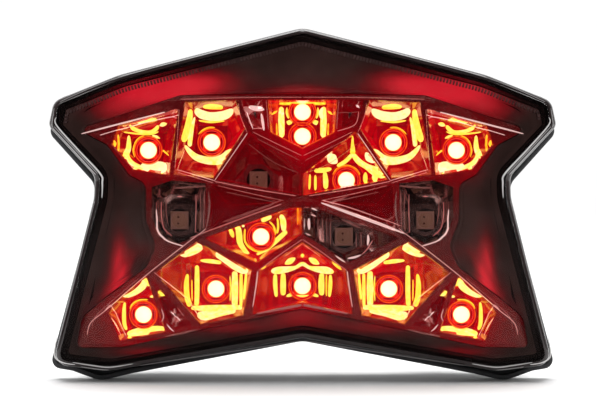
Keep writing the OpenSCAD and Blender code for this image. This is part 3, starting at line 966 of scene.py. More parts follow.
BANDS_TOP = [
    (0.95, [(-5.9, 8.2, 1.0), (-5.9, 4.5, 1.4), (-5.8, 1.0, 1.3), (-5.7, -1.0, 1.0)]),
    (1.00, [(-6.0, 7.7, 0.6), (-5.9, 6.4, 1.3), (-5.9, 5.0, 0.7)]),
    (0.95, [(5.9, 8.2, 1.0), (5.9, 4.5, 1.4), (5.8, 1.0, 1.3), (5.7, -1.0, 1.0)]),
    (1.00, [(5.6, 8.0, 0.8), (5.5, 6.4, 1.5), (5.7, 4.6, 0.8)]),
    (0.93, [(-4.4, 4.2, 0.5), (-3.8, 3.9, 1.2), (-2.9, 3.8, 0.5)]),
    (0.93, [(4.4, 4.2, 0.5), (3.8, 3.9, 1.2), (2.9, 3.8, 0.5)]),
    (0.90, [(-4.3, 8.1, 0.3), (-4.4, 6.6, 0.5), (-3.9, 5.0, 0.4)]),
    (0.90, [(4.3, 8.1, 0.3), (4.4, 6.6, 0.5), (3.9, 5.0, 0.4)]),
    (0.86, [(-4.8, -1.2, 0.4), (-3.3, -2.8, 0.5), (0.0, -3.8, 0.6), (3.3, -2.8, 0.5), (4.8, -1.2, 0.4)]),
    (0.84, [(-6.5, 9.0, 0.4), (0.0, 9.1, 0.5), (6.5, 9.0, 0.4)]),
    (0.84, [(-8.5, 5.9, 0.3), (-7.6, 6.6, 0.5), (-7.0, 7.0, 0.3)]),
    (0.84, [(8.3, 5.9, 0.3), (7.5, 6.6, 0.5), (7.0, 7.0, 0.3)]),
    (0.78, [(-7.2, 3.6, 0.3), (-7.1, 1.0, 0.4), (-7.0, -0.4, 0.3)]),
    (0.78, [(7.2, 3.6, 0.3), (7.1, 1.0, 0.4), (7.0, -0.4, 0.3)]),
]
BANDS_MIDDLE = [
    (0.88, [(-1.6, 12.2, 0.3), (-1.6, 10.4, 0.6), (-1.7, 8.8, 1.0), (-1.7, 7.2, 1.4)]),
    (0.95, [(-1.7, 7.4, 1.0), (-3.4, 5.3, 1.3), (-5.6, 3.8, 1.3), (-8.0, 2.4, 2.0), (-10.2, 1.0, 1.2),
            (-11.6, 0.2, 0.4)]),
    (0.93, [(-1.6, 7.2, 0.9), (0.4, 5.2, 0.9), (2.6, 4.0, 0.8)]),
    (0.92, [(4.2, 3.2, 0.7), (6.4, 2.8, 1.1), (9.0, 2.6, 0.9)]),
    (0.90, [(10.2, 1.6, 0.4), (10.3, -0.8, 0.5), (10.4, -2.6, 0.4)]),
    (0.90, [(8.7, 1.4, 0.5), (8.7, -1.0, 0.6), (8.7, -2.8, 0.5)]),
    (0.93, [(6.1, 2.4, 0.8), (5.8, 0.0, 1.2), (5.8, -2.4, 1.0)]),
    (0.90, [(-5.3, 2.2, 0.6), (-5.3, 0.6, 1.0), (-5.3, -0.8, 0.7)]),
    (0.95, [(-7.9, 2.2, 0.9), (-7.9, 0.8, 1.3), (-7.9, -0.4, 0.9)]),
    (1.00, [(2.6, 4.8, 0.6), (4.0, 5.9, 2.3), (5.4, 7.1, 0.8)]),
    (1.00, [(-5.2, 7.6, 0.6), (-6.4, 6.3, 2.0), (-7.6, 4.8, 0.6)]),
    (0.76, [(3.8, 1.6, 0.2), (2.7, 3.2, 0.25), (0.0, 4.2, 0.3), (-2.7, 3.2, 0.25), (-3.8, 1.6, 0.2)]),
]
BANDS_LOWER = [
    (0.97, [(-9.1, 3.8, 0.8), (-7.6, 3.7, 1.7), (-5.9, 3.5, 1.6), (-4.6, 2.9, 0.8)]),
    (0.90, [(-8.7, 2.8, 0.8), (-8.2, 1.2, 1.0), (-7.7, -0.2, 0.6)]),
    (0.93, [(-6.4, 2.8, 1.2), (-6.1, 0.5, 1.4), (-5.8, -1.8, 1.3), (-4.4, -3.9, 0.9), (-3.2, -4.6, 0.3)]),
    (0.82, [(-4.5, 2.2, 0.4), (-4.5, -1.2, 0.45), (-2.8, -3.3, 0.5), (0.0, -4.1, 0.6), (2.3, -3.1, 0.5)]),
    (0.93, [(-1.2, -5.0, 0.5), (1.6, -3.4, 0.9), (4.6, -0.8, 1.1), (7.2, 1.6, 1.0)]),
    (0.95, [(-3.5, 5.2, 0.8), (-1.5, 5.9, 1.4), (-0.1, 5.7, 1.0), (0.4, 4.5, 0.8), (2.2, 5.5, 1.2),
            (3.6, 6.8, 1.9), (5.0, 7.6, 0.9)]),
    (0.84, [(2.3, 4.3, 0.3), (3.6, 2.8, 0.45), (3.9, 0.8, 0.45), (3.2, -1.4, 0.4)]),
    (0.88, [(4.6, 5.2, 0.4), (4.8, 3.0, 0.5), (4.5, 0.9, 0.5)]),
    (0.95, [(5.6, 6.2, 0.9), (6.2, 4.2, 1.4), (6.4, 1.6, 1.0)]),
    (0.74, [(10.3, 9.6, 0.3), (10.3, 6.4, 0.4), (10.3, 3.4, 0.3)]),
]
BANDS_LOW = [
    (0.92, [(-4.5, -2.9, 0.6), (-2.2, -2.2, 0.9), (0.0, -2.5, 1.0), (2.2, -2.2, 0.9), (4.5, -2.9, 0.6)]),
    (0.96, [(-8.7, 4.2, 1.0), (-6.8, 4.4, 1.7), (-4.2, 4.7, 1.4), (-1.9, 5.2, 0.8), (0.0, 6.2, 0.9),
            (1.9, 5.2, 0.8),
            (4.2, 4.7, 1.4), (6.8, 4.4, 1.7), (8.7, 3.9, 0.8)]),
    (0.94, [(-4.9, 6.2, 0.4), (-3.5, 7.0, 1.4), (-2.0, 7.9, 0.5)]),
    (0.94, [(4.7, 6.2, 0.4), (3.2, 7.0, 1.4), (1.8, 7.9, 0.5)]),
    (0.92, [(-0.5, 8.5, 0.6), (0.0, 8.6, 1.0), (0.5, 8.5, 0.6)]),
    (0.86, [(-11.3, 4.9, 0.3), (-9.8, 6.2, 0.7), (-8.6, 7.2, 0.3)]),
    (0.84, [(-8.0, 7.8, 0.3), (-6.4, 8.9, 0.7), (-4.7, 10.0, 0.3)]),
    (0.86, [(4.8, 10.1, 0.3), (6.2, 9.0, 0.8), (7.4, 8.0, 0.3)]),
    (0.86, [(8.0, 7.3, 0.3), (9.4, 6.0, 0.8), (10.8, 4.7, 0.3)]),
    (0.92, [(-7.6, 3.4, 0.8), (-7.6, 0.4, 1.0), (-7.3, -3.0, 0.7)]),
    (0.93, [(-5.4, 3.6, 1.0), (-5.4, 0.4, 1.3), (-5.4, -2.6, 1.1)]),
    (0.93, [(5.4, 3.6, 1.0), (5.3, 0.4, 1.4), (5.4, -2.6, 1.1)]),
    (0.82, [(6.7, 3.2, 0.3), (6.7, 0.2, 0.4), (6.7, -2.8, 0.3)]),
    (0.91, [(7.8, 3.2, 0.6), (7.8, 0.4, 0.9), (7.5, -3.0, 0.6)]),
    (0.74, [(-3.6, 1.4, 0.2), (-2.6, 3.0, 0.25), (0.0, 3.9, 0.3), (2.6, 3.0, 0.25), (3.6, 1.4, 0.2)]),
]
BANDS_FLANK = [
    (0.97, [(-11.5, 9.2, 0.6), (-8.4, 10.0, 1.7), (-6.0, 11.2, 2.4), (-4.2, 12.4, 2.2), (-3.6, 13.4, 0.8)]),
    (0.98, [(-2.8, 12.6, 1.0), (-0.2, 10.8, 2.0), (3.0, 8.8, 2.5), (6.0, 6.9, 2.9), (8.2, 5.6, 2.4),
            (9.2, 5.2, 0.8)]),
    (0.94, [(-4.3, 8.0, 0.5), (-1.6, 7.8, 1.0), (1.6, 7.4, 0.8)]),
    (0.95, [(5.3, 5.0, 1.2), (5.3, 0.5, 1.6), (5.3, -4.6, 1.4)]),
    (0.90, [(7.1, 4.4, 0.7), (7.1, 0.0, 0.8), (7.1, -4.8, 0.7)]),
    (0.88, [(8.5, 4.6, 0.5), (8.3, 1.0, 0.6), (8.0, -2.6, 0.5)]),
    (0.90, [(3.9, 3.6, 0.2), (4.1, 0.0, 0.35), (3.9, -3.4, 0.2)]),
    (0.92, [(-5.3, 6.6, 0.9), (-5.3, 2.0, 1.1), (-5.3, -4.6, 1.0)]),
    (0.89, [(-7.9, 4.2, 0.6), (-8.2, 1.2, 1.1), (-7.9, -2.0, 1.1), (-6.9, -4.6, 0.9)]),
    (0.84, [(-6.7, 2.6, 0.25), (-6.7, -0.4, 0.3), (-6.5, -3.2, 0.25)]),
    (0.95, [(-6.6, -5.0, 0.7), (-2.4, -5.4, 1.4), (2.0, -5.3, 1.4), (7.4, -4.9, 0.9)]),
    (0.97, [(-4.9, -6.6, 0.8), (-2.9, -7.2, 2.0), (1.4, -6.5, 1.4), (5.6, -5.9, 0.8)]),
    (0.80, [(-3.3, 1.9, 0.2), (-2.2, 3.2, 0.3), (0.2, 3.8, 0.3), (2.4, 3.1, 0.3), (3.6, 1.2, 0.25),
            (3.7, -0.8, 0.2)]),
]
BANDS_FOOT = [
    (0.97, [(-7.3, 4.5, 0.5), (-5.4, 5.3, 1.3), (-2.8, 6.7, 2.3), (-0.6, 8.6, 2.8), (0.6, 10.4, 1.4)]),
    (0.93, [(0.8, 10.2, 1.0), (2.4, 8.0, 1.8), (4.6, 6.7, 1.3), (6.5, 5.7, 0.6)]),
    (0.95, [(1.8, 5.0, 0.5), (4.0, 5.3, 0.8), (6.0, 5.8, 0.5)]),
    (0.92, [(-5.1, 3.5, 0.5), (-5.4, 0.5, 0.8), (-5.2, -2.6, 0.8), (-4.6, -4.2, 0.6)]),
    (0.95, [(-4.4, -5.3, 0.9), (-2.2, -4.8, 1.4), (1.0, -4.3, 1.5), (4.0, -3.9, 1.2), (6.8, -3.8, 0.5)]),
    (0.90, [(-4.0, -6.0, 0.5), (-1.5, -6.0, 0.5), (2.0, -5.3, 0.3)]),
    (0.84, [(-3.8, 1.6, 0.3), (-2.9, 3.0, 0.5), (-1.2, 4.0, 0.4), (1.2, 4.2, 0.3)]),
]
# LED, bands of its cell, and whether the cell is the mirror image of the list
LIT_CELLS = [
    ((-43.1, 15.0), BANDS_BROW, False), ((43.1, 15.0), BANDS_BROW, True),
    ((-25.4, 17.2), BANDS_UPPER, False), ((25.4, 17.2), BANDS_UPPER, True),
    ((0, 18.9), BANDS_TOP, False), ((12.3, 6.6), BANDS_MIDDLE, True), ((-11.6, -9.2), BANDS_LOWER, False),
    ((0, -23.0), BANDS_LOW, False), ((-24.2, -23.8), BANDS_FLANK, False), ((24.2, -23.8), BANDS_FLANK, True),
    ((-44.5, -31.0), BANDS_FOOT, False), ((44.5, -31.0), BANDS_FOOT, True),
]


BAND_WIDEN = 1.22  # the bands are domed, so they look narrower than they are


def curve_through(points, step=0.35):
    """Points of a smooth curve through these (x, z, width) points, about step apart."""
    out = []
    n = len(points)
    for i in range(n - 1):
        p0, p1 = Vector(points[max(0, i - 1)]), Vector(points[i])
        p2, p3 = Vector(points[i + 1]), Vector(points[min(n - 1, i + 2)])
        count = max(2, int((p2 - p1).length / step))
        for k in range(count):
            t = k / count
            square = 2 * p0 - 5 * p1 + 4 * p2 - p3
            cube = 3 * p1 - p0 - 3 * p2 + p3
            out.append(0.5 * (2 * p1 + (p2 - p0) * t + square * t * t + cube * t**3))
    out.append(Vector(points[-1]))
    return out


def add_band(bm, layer, points, value, surface, lift=0.16, widen=1.0):
    """A closed, slightly domed ribbon on a surface. surface(x, z) is a depth, or None off it."""
    runs = [[]]
    dense = curve_through(points)
    for p in dense:
        if surface(p.x, p.y) is None:
            runs.append([])
        else:
            runs[-1].append(p)
    for run in runs:
        if len(run) < 3:
            continue
        rings = []
        n = len(run)
        for i, p in enumerate(run):
            ahead = run[min(n - 1, i + 1)] - run[max(0, i - 1)]
            along = Vector((ahead.x, ahead.y)).normalized()
            across = Vector((along.y, -along.x))
            end = min(1.0, 0.35 + 0.65 * min(i, n - 1 - i) / 1.5)
            half = max(0.06, p.z / 2 * end * widen)
            top, under = [], []
            last = surface(p.x, p.y)
            for u in (-1.0, -0.5, 0.0, 0.5, 1.0):
                x, z = p.x + across.x * u * half, p.y + across.y * u * half
                depth = surface(x, z)
                depth = last if depth is None else depth
                top.append(bm.verts.new(place(x, depth + 0.04 + lift * (1 - u * u), z)))
                under.append(bm.verts.new(place(x, depth - 0.15, z)))
            for v in top + under:
                v[layer] = value
            rings.append(top + under[::-1])
        for a, b in zip(rings, rings[1:]):
            bridge(bm, a, b)
        bm.faces.new(rings[0])
        bm.faces.new(rings[-1])


def cell_surface(x, z):
    h = pocket_height(x, z)
    return None if h is None else height_to_depth(x, h)


def ridge_surface(x, z):
    """The surface of the ridges and pockets together."""
    h = pocket_height(x, z)
    return height_to_depth(x, RIDGE - FLOOR if h is None else h)


def build_painted_highlight_bands():
    """The polished bands in the lit cells, whose glow paints the highlights of the lit LEDs."""
    bm = bmesh.new()
    painted_light = bm.verts.layers.float.new("painted_light")
    for (cx, cz), bands, mirror in LIT_CELLS:
        flip = -1 if mirror else 1
        for value, points in bands:
            line = [(cx + flip * x, cz + z, w) for x, z, w in points]
            add_band(bm, painted_light, line, value, cell_surface, widen=BAND_WIDEN)
    finished("reflector_highlight_bands", bm, [MAT["chrome"]], smooth=50)


# ---------------------------------------------------------------- bezel

# Patches of red light on the bezel: (x, z), reach across and up, strength. Each is mirrored.
RED_PATCHES = [
    ((42, 31.0), 15, 5.6, 1.0), ((26, 33.5), 11, 4.2, 0.6), ((53, 25.5), 7, 4, 0.4),
    ((0, 31.0), 12, 2.0, 0.45), ((50.5, -18), 2.8, 10, 0.95), ((53, -26), 4, 5, 0.45),
    ((20, -34), 16, 2.6, 0.42), ((43, -41), 11, 1.8, 0.42), ((0, -31), 9, 3, 0.50),
    ((46, 9), 4, 4, 0.32), ((44, -13), 3, 3, 0.30), ((59, -31), 3, 5, 0.25),
]


def red_light(x, z):
    """Red glow on the bezel at a place of the front view."""
    total = 0.0
    for (px, pz), rx, rz, strength in RED_PATCHES:
        for side in (-1, 1) if px else (1,):
            d = ((x - side * px) / rx) ** 2 + ((z - pz) / rz) ** 2
            total += strength * math.exp(-d)
    return min(1.0, total + 0.16 * led_light_share(x, z, 11.0))


def build_bezel():
    """The dark mask from the pan's edge to the lens: a lip, a gentle shoulder and a turned down edge."""
    bm = bmesh.new()
    glow = bm.verts.layers.float.new("glow")
    inner = outline(PAN_HALF, -0.3)
    outer = outline(LENS_HALF, 2.6)
    angles = directions(inner, outer, step=1.0)
    full = RIDGE - FLOOR

    # share of the way out, and how far the surface is below the ridge tops there
    profile = [(0.0, 3.0), (0.0, 0.3), (0.02, 0.0), (0.07, 0.05), (0.10, 0.5), (0.22, 0.8), (0.40, 1.1),
               (0.56, 1.6), (0.66, 2.1), (0.74, 2.7), (0.84, 3.3), (0.94, 3.9), (1.0, 4.3)]
    rings = []
    for share, sink in profile:
        ring = []
        for t in angles:
            a = radius_at(inner, t)
            r = a + (radius_at(outer, t) - a) * share
            p = Vector((r * math.cos(t), r * math.sin(t)))
            edge = Vector((a * math.cos(t), a * math.sin(t)))
            near = height_to_depth(edge.x, full)
            v = bm.verts.new(place(p.x, max(BEZEL_BACK + 0.8, near - sink), p.y))
            v[glow] = red_light(p.x, p.y)
            ring.append(v)
        rings.append(ring)
    under = [bm.verts.new(v.co + Vector((0, 1.4 * MM, 0))) for v in rings[-1]]
    under_in = [bm.verts.new(v.co + Vector((0, 1.0 * MM, 0))) for v in rings[0]]
    rings = [under_in] + rings + [under]
    for a, b in zip(rings, rings[1:]):
        bridge(bm, a, b)
    bridge(bm, rings[-1], rings[0])
    bmesh.ops.remove_doubles(bm, verts=bm.verts, dist=1e-6)
    finished("bezel_mask", bm, [MAT["bezel"]], "inner_bezel", smooth=38)


# ---------------------------------------------------------------- lens


EDGE = outline(LENS_HALF)


def crown(x, z):
    """Depth of the outer face of the lens."""
    return LENS_FRONT - (x * x + z * z) / (2 * CROWN_R)


def edge_surface(x, z):
    """Depth just inside the rounded edge of the lens."""
    inside = radius_at(EDGE, math.atan2(z, x)) - math.hypot(x, z)
    return crown(x, z) - 1.3 * max(0.0, 1.0 - max(0.0, inside) / 1.6) ** 2


# Section of the rim: how far inside the edge, and how far below the crown there
RIM_PROFILE = [(0.0, 1.9), (0.3, 1.05), (0.8, 0.45), (1.4, 0.15), (2.3, 0.0)]
SKIRT_WALL = 2.4


def build_lens():
    """The smoked lens: skirt, rounded rim, crowned front and its inner face, as one closed shell."""
    bm = bmesh.new()
    shapes = {d: outline(LENS_HALF, d) for d in {d for d, _ in RIM_PROFILE} | {SKIRT_WALL}}
    angles = directions(shapes[0.0], step=1.5)

    def ring(d, depth, scale=1.0):
        out = []
        for t in angles:
            r = radius_at(shapes[d], t) * scale
            x, z = r * math.cos(t), r * math.sin(t)
            out.append(bm.verts.new(place(x, depth(x, z), z)))
        return out

    def under(drop):
        return lambda x, z: crown(x, z) - drop

    def foot(x, z):
        return LENS_FOOT + 0.2

    rings = [ring(0.0, foot)] + [ring(d, under(drop)) for d, drop in RIM_PROFILE]
    rim_rings = len(rings) - 2
    for scale in (0.96, 0.9, 0.8, 0.68, 0.54, 0.4, 0.26, 0.12):
        rings.append(ring(RIM_PROFILE[-1][0], crown, scale))
    tip = bm.verts.new(place(0, crown(0, 0), 0))
    for k, (a, b) in enumerate(zip(rings, rings[1:])):
        for f in bridge(bm, a, b):
            f.material_index = 1 if k < rim_rings else 0
    n = len(angles)
    for i in range(n):
        bm.faces.new((rings[-1][i], rings[-1][(i + 1) % n], tip))
    inner = [ring(SKIRT_WALL, foot), ring(SKIRT_WALL, under(LENS_WALL))]
    for scale in (0.96, 0.8, 0.54, 0.26):
        inner.append(ring(SKIRT_WALL, under(LENS_WALL), scale))
    inner_tip = bm.verts.new(place(0, crown(0, 0) - LENS_WALL, 0))
    for a, b in zip(inner, inner[1:]):
        bridge(bm, a, b)
    for i in range(n):
        bm.faces.new((inner[-1][i], inner[-1][(i + 1) % n], inner_tip))
    for f in bridge(bm, rings[0], inner[0]):
        f.material_index = 1
    finished("lens_shell", bm, [MAT["lens"], MAT["rim"]], "outer_lens", smooth=50)


FLUTE_PITCH = 0.9  # distance from one tooth to the next
FLUTE_W = 0.5
FLUTE_L = 1.15
FLUTE_H = 0.4
FLUTE_INSET = 4.3  # how far inside the edge of the lens the row runs
FLUTE_FROM_Z = 21  # the row runs over the top edge only, above this height


def build_flutes():
    """The row of fine prism teeth inside the top edge of the lens."""
    bm = bmesh.new()
    line = [p for p in outline(LENS_HALF, FLUTE_INSET) if p.y > FLUTE_FROM_Z]
    line.sort(key=lambda p: p.x)
    length = 0.0
    marks = [0.0]
    for a, b in zip(line, line[1:]):
        length += (b - a).length
        marks.append(length)
    count = int(length / FLUTE_PITCH)
    for k in range(1, count):
        s = k * FLUTE_PITCH
        i = max(j for j, m in enumerate(marks[:-1]) if m <= s)
        along = (line[i + 1] - line[i]).normalized()
        mid = line[i] + along * (s - marks[i])
        across = Vector((along.y, -along.x))
        depth = crown(mid.x, mid.y) - LENS_WALL + 0.05
        corners = []
        for u, v in ((-1, -1), (1, -1), (1, 1), (-1, 1)):
            p = mid + along * (u * FLUTE_W / 2) + across * (v * FLUTE_L / 2)
            corners.append(bm.verts.new(place(p.x, depth, p.y)))
        crest = []
        for v in (-0.7, 0.7):
            p = mid + across * (v * FLUTE_L / 2)
            crest.append(bm.verts.new(place(p.x, depth - FLUTE_H, p.y)))
        bm.faces.new(corners)
        bm.faces.new((corners[0], corners[1], crest[0]))
        bm.faces.new((corners[1], corners[2], crest[1], crest[0]))
        bm.faces.new((corners[2], corners[3], crest[1]))
        bm.faces.new((corners[3], corners[0], crest[0], crest[1]))
    finished("lens_flutes", bm, [MAT["flute"]])


# ---------------------------------------------------------------- LEDs


def build_domes(node, name, core, radius, height):
    """A domed resin window over each LED of a node."""
    bm = bmesh.new()
    for x, _, z in islands(node):
        profile = [(0.0, LED_TOP - 0.5), (radius, LED_TOP - 0.5)]
        for k in range(7):
            a = math.pi / 2 * k / 6
            profile.append((radius * math.cos(a), LED_TOP + height * math.sin(a)))
        profile[-1] = (0.0, LED_TOP + height)
        lathe(bm, (x, z), profile, 32)
    finished(name, bm, [core], node, smooth=50)


def build_contacts():
    """The two small contacts that show in the face of an unlit LED."""
    bm = bmesh.new()
    for x, _, z in left_turn + right_turn:
        for dz in (-0.9, 0.9):
            lathe(bm, (x - 0.35, z + dz), disc(0.3, LED_TOP - 0.2, LED_TOP + 0.12), 16)
    finished("turn_led_contacts", bm, [MAT["contact"]])


# ---------------------------------------------------------------- thin highlights

# Thin highlights, each as (brightness, sides, line of (x, z, width)). Places are those of the right
# hand side; "LR" draws both sides.
GLINTS = [
    (1.00, "LR", [(38.0, 25.3, 0.3), (45.0, 23.5, 0.5), (55.7, 20.8, 0.55), (61.2, 19.4, 0.3)]),
    (0.80, "LR", [(34.0, 24.5, 0.25), (38.0, 23.9, 0.3), (45.0, 22.2, 0.3), (56.0, 19.0, 0.3)]),
    (0.42, "LR", [(34.2, 25.8, 1.0), (37.6, 25.0, 1.0), (43.0, 23.4, 0.7), (50.0, 21.4, 0.3)]),
    (0.45, "LR", [(34.0, 26.0, 0.2), (34.5, 18.0, 0.25), (35.2, 9.8, 0.25)]),
    (0.70, "LR", [(34.7, 9.5, 0.2), (29.0, 7.8, 0.3), (24.2, 6.4, 0.25)]),
    (0.55, "LR", [(34.4, 8.7, 0.2), (29.0, 7.1, 0.25), (24.6, 5.8, 0.2)]),
    (0.50, "LR", [(32.8, 15.0, 0.2), (33.8, 12.0, 0.25), (34.6, 9.4, 0.2)]),
    (0.75, "LR", [(24.2, 6.4, 0.2), (19.6, 13.0, 0.3), (15.2, 19.4, 0.3)]),
    (0.50, "LR", [(15.2, 19.6, 0.2), (17.1, 24.1, 0.25), (17.6, 27.6, 0.2)]),
    (0.55, "LR", [(13.7, 19.8, 0.2), (7.0, 16.5, 0.25), (0.3, 13.3, 0.2)]),
    (0.40, "LR", [(12.4, 17.9, 0.2), (6.6, 14.9, 0.25), (0.8, 12.0, 0.2)]),
    (0.35, "LR", [(15.0, 16.6, 0.2), (8.0, 11.6, 0.25), (1.2, 8.6, 0.2)]),
    (0.60, "LR", [(24.2, 6.2, 0.25), (13.0, 4.0, 0.3), (1.8, 2.2, 0.25)]),
    (0.45, "LR", [(23.3, 5.0, 0.2), (14.0, 2.8, 0.25), (5.2, 0.9, 0.2)]),
    (0.40, "LR", [(21.0, 3.2, 0.2), (13.0, 1.5, 0.25), (8.0, 0.2, 0.2), (12.0, -1.6, 0.2),
            (21.0, -5.0, 0.2)]),
    (1.00, "R", [(5.1, 0.3, 0.4), (9.0, -1.1, 0.8), (15.0, -3.3, 1.0), (22.0, -5.8, 1.0),
            (28.2, -8.2, 0.35)]),
    (0.65, "R", [(5.4, 1.0, 0.3), (12.0, -0.7, 0.35), (20.0, -3.4, 0.3), (27.0, -6.0, 0.2)]),
    (0.60, "L", [(5.7, 0.0, 0.25), (14.0, -3.0, 0.3), (22.1, -6.0, 0.25), (31.0, -9.4, 0.25)]),
    (0.45, "L", [(6.0, 0.9, 0.2), (14.0, -2.0, 0.25), (22.1, -5.0, 0.2)]),
    (0.95, "LR", [(40.7, -1.6, 0.2), (40.5, -4.0, 0.35), (39.8, -7.7, 0.45), (37.4, -10.1, 0.45),
            (33.0, -11.6, 0.35)]),
    (0.55, "LR", [(39.4, 0.5, 0.2), (39.4, -3.6, 0.25), (38.6, -7.0, 0.25), (36.4, -9.0, 0.2)]),
    (0.70, "LR", [(26.6, -6.8, 0.25), (41.9, -18.7, 0.3), (53.8, -28.9, 0.3), (58.5, -32.8, 0.3),
            (59.6, -36.2, 0.2)]),
    (0.40, "LR", [(45.0, -20.4, 0.2), (54.0, -28.0, 0.25), (57.4, -31.4, 0.25), (58.2, -34.6, 0.2)]),
    (0.65, "LR", [(40.9, -18.9, 0.2), (36.6, -22.4, 0.35), (32.0, -26.6, 0.3), (28.0, -32.2, 0.2)]),
    (0.75, "LR", [(12.3, -18.5, 0.4), (12.8, -22.6, 0.45), (13.7, -28.4, 0.25)]),
    (0.60, "LR", [(12.1, -18.3, 0.2), (6.0, -13.8, 0.25), (0.1, -9.8, 0.2)]),
    (0.55, "LR", [(4.9, -14.6, 0.2), (2.4, -12.8, 0.25), (0.1, -11.0, 0.2)]),
    (0.50, "L", [(34.5, -28.6, 0.2), (32.6, -31.0, 0.4)]),
    (0.95, "LR", [(36.5, -29.9, 0.25), (35.2, -31.2, 0.5), (33.9, -32.4, 0.25)]),
    (0.85, "LR", [(37.4, -33.2, 0.25), (36.4, -34.4, 0.45), (35.4, -35.2, 0.25)]),
    (0.75, "LR", [(38.9, -29.0, 0.2), (38.3, -31.0, 0.35), (38.8, -32.4, 0.2)]),
    (0.65, "LR", [(54.4, -29.2, 0.2), (53.0, -28.0, 0.35), (52.0, -30.4, 0.3), (50.6, -33.8, 0.3),
            (49.2, -36.8, 0.25)]),
    (0.55, "LR", [(52.9, -31.4, 0.2), (51.6, -33.6, 0.35), (50.4, -36.4, 0.2)]),
    # the unlit lower cell
    (1.00, "R", [(1.8, -4.0, 0.6), (1.8, -5.6, 0.95), (1.9, -7.2, 0.6)]),
    (0.95, "R", [(2.5, -1.2, 0.3), (3.3, -1.5, 0.6), (4.1, -1.9, 0.3)]),
    (0.80, "R", [(2.4, -3.0, 0.3), (3.1, -3.2, 0.5), (3.8, -3.5, 0.3)]),
    (0.75, "R", [(0.9, -8.2, 0.3), (1.6, -8.5, 0.5), (2.3, -8.8, 0.3)]),
    (0.30, "R", [(4.3, -4.2, 0.3), (4.4, -9.4, 0.5)]),
    (0.36, "R", [(5.5, -4.0, 0.3), (5.7, -10.0, 0.5)]),
    (0.30, "R", [(6.7, -4.4, 0.3), (6.9, -10.8, 0.4)]),
    (0.34, "R", [(7.9, -5.0, 0.3), (7.8, -11.4, 0.4)]),
    (0.34, "R", [(10.8, -4.3, 0.3), (14.0, -5.8, 0.7), (16.4, -6.8, 0.4)]),
    (0.30, "R", [(15.0, -8.0, 0.3), (15.1, -12.0, 0.4)]),
    (0.36, "R", [(16.4, -8.0, 0.3), (16.4, -12.2, 0.4)]),
    (1.00, "R", [(18.3, -8.6, 0.4), (18.4, -10.0, 0.85), (18.2, -11.6, 0.4)]),
    (0.95, "R", [(9.0, -14.2, 0.25), (10.4, -15.2, 0.5), (11.8, -16.1, 0.3)]),
    (0.95, "R", [(12.6, -15.2, 0.4), (14.4, -14.8, 0.6), (16.2, -14.1, 0.25)]),
    (0.55, "R", [(16.3, -14.1, 0.2), (18.2, -12.4, 0.3), (19.6, -10.2, 0.2)]),
    # strips beside the outer unlit LEDs
    (0.34, "LR", [(25.9, 3.4, 0.3), (25.6, -0.6, 0.7), (26.4, -6.4, 0.4)]),
    (0.42, "LR", [(27.2, 3.8, 0.3), (27.2, -1.0, 0.4), (27.4, -6.8, 0.3)]),
    (0.30, "LR", [(28.5, 3.4, 0.3), (28.4, -1.6, 0.6), (28.6, -7.6, 0.4)]),
    (0.46, "LR", [(29.8, 2.6, 0.2), (29.8, -1.6, 0.35), (30.0, -8.0, 0.25)]),
    (0.36, "LR", [(27.0, 5.0, 0.4), (31.0, 4.6, 0.7), (35.8, 4.4, 0.4)]),
    (0.60, "LR", [(33.6, 2.0, 0.2), (34.3, 2.1, 0.6), (35.0, 2.0, 0.2)]),
    (0.30, "LR", [(38.0, 3.0, 0.3), (38.2, -1.8, 0.5), (37.6, -5.8, 0.3)]),
    # the wedges beside the top cell
    (1.00, "L", [(14.9, 26.9, 0.9), (13.2, 26.5, 1.6), (11.6, 26.2, 1.5), (10.5, 25.9, 0.8)]),
    (0.95, "L", [(11.4, 24.9, 0.5), (11.0, 22.8, 0.95), (10.6, 20.2, 0.6)]),
    (0.80, "L", [(15.4, 25.4, 0.25), (14.4, 22.6, 0.4), (13.6, 20.6, 0.3)]),
    (0.60, "L", [(13.8, 20.6, 0.2), (12.4, 20.8, 0.3), (11.2, 20.6, 0.2)]),
    (0.95, "R", [(14.8, 27.3, 0.3), (15.2, 27.0, 0.7), (15.7, 26.5, 0.3)]),
    (0.40, "R", [(9.8, 25.0, 0.2), (12.6, 25.3, 0.25), (15.5, 25.4, 0.2)]),
    (0.60, "R", [(15.5, 25.4, 0.2), (14.4, 21.8, 0.3), (9.6, 20.0, 0.25)]),
    (0.45, "LR", [(10.0, 28.4, 0.2), (9.6, 24.0, 0.3), (9.4, 20.6, 0.2)]),
    # the edge of the pan
    (0.48, "LR", [(0.2, 29.3, 0.3), (10.0, 29.3, 0.3), (20.0, 29.2, 0.35), (33.6, 28.8, 0.3)]),
    (0.50, "LR", [(0.2, -27.8, 0.7), (6.0, -28.9, 0.9), (12.6, -30.2, 0.5)]),
    (0.42, "LR", [(29.0, -34.6, 0.4), (33.0, -35.6, 0.7), (38.0, -36.6, 0.4)]),
]


def build_glints():
    """Thin beads along the polished edges of the reflector, whose glow paints their highlights."""
    bm = bmesh.new()
    painted_light = bm.verts.layers.float.new("painted_light")
    for value, sides, points in GLINTS:
        for side in sides:
            flip = 1 if side == "R" else -1
            line = [(flip * x, z, w) for x, z, w in points]
            add_band(bm, painted_light, line, value, ridge_surface, lift=0.2, widen=0.8)
    finished("reflector_glints", bm, [MAT["glint"]], smooth=50)


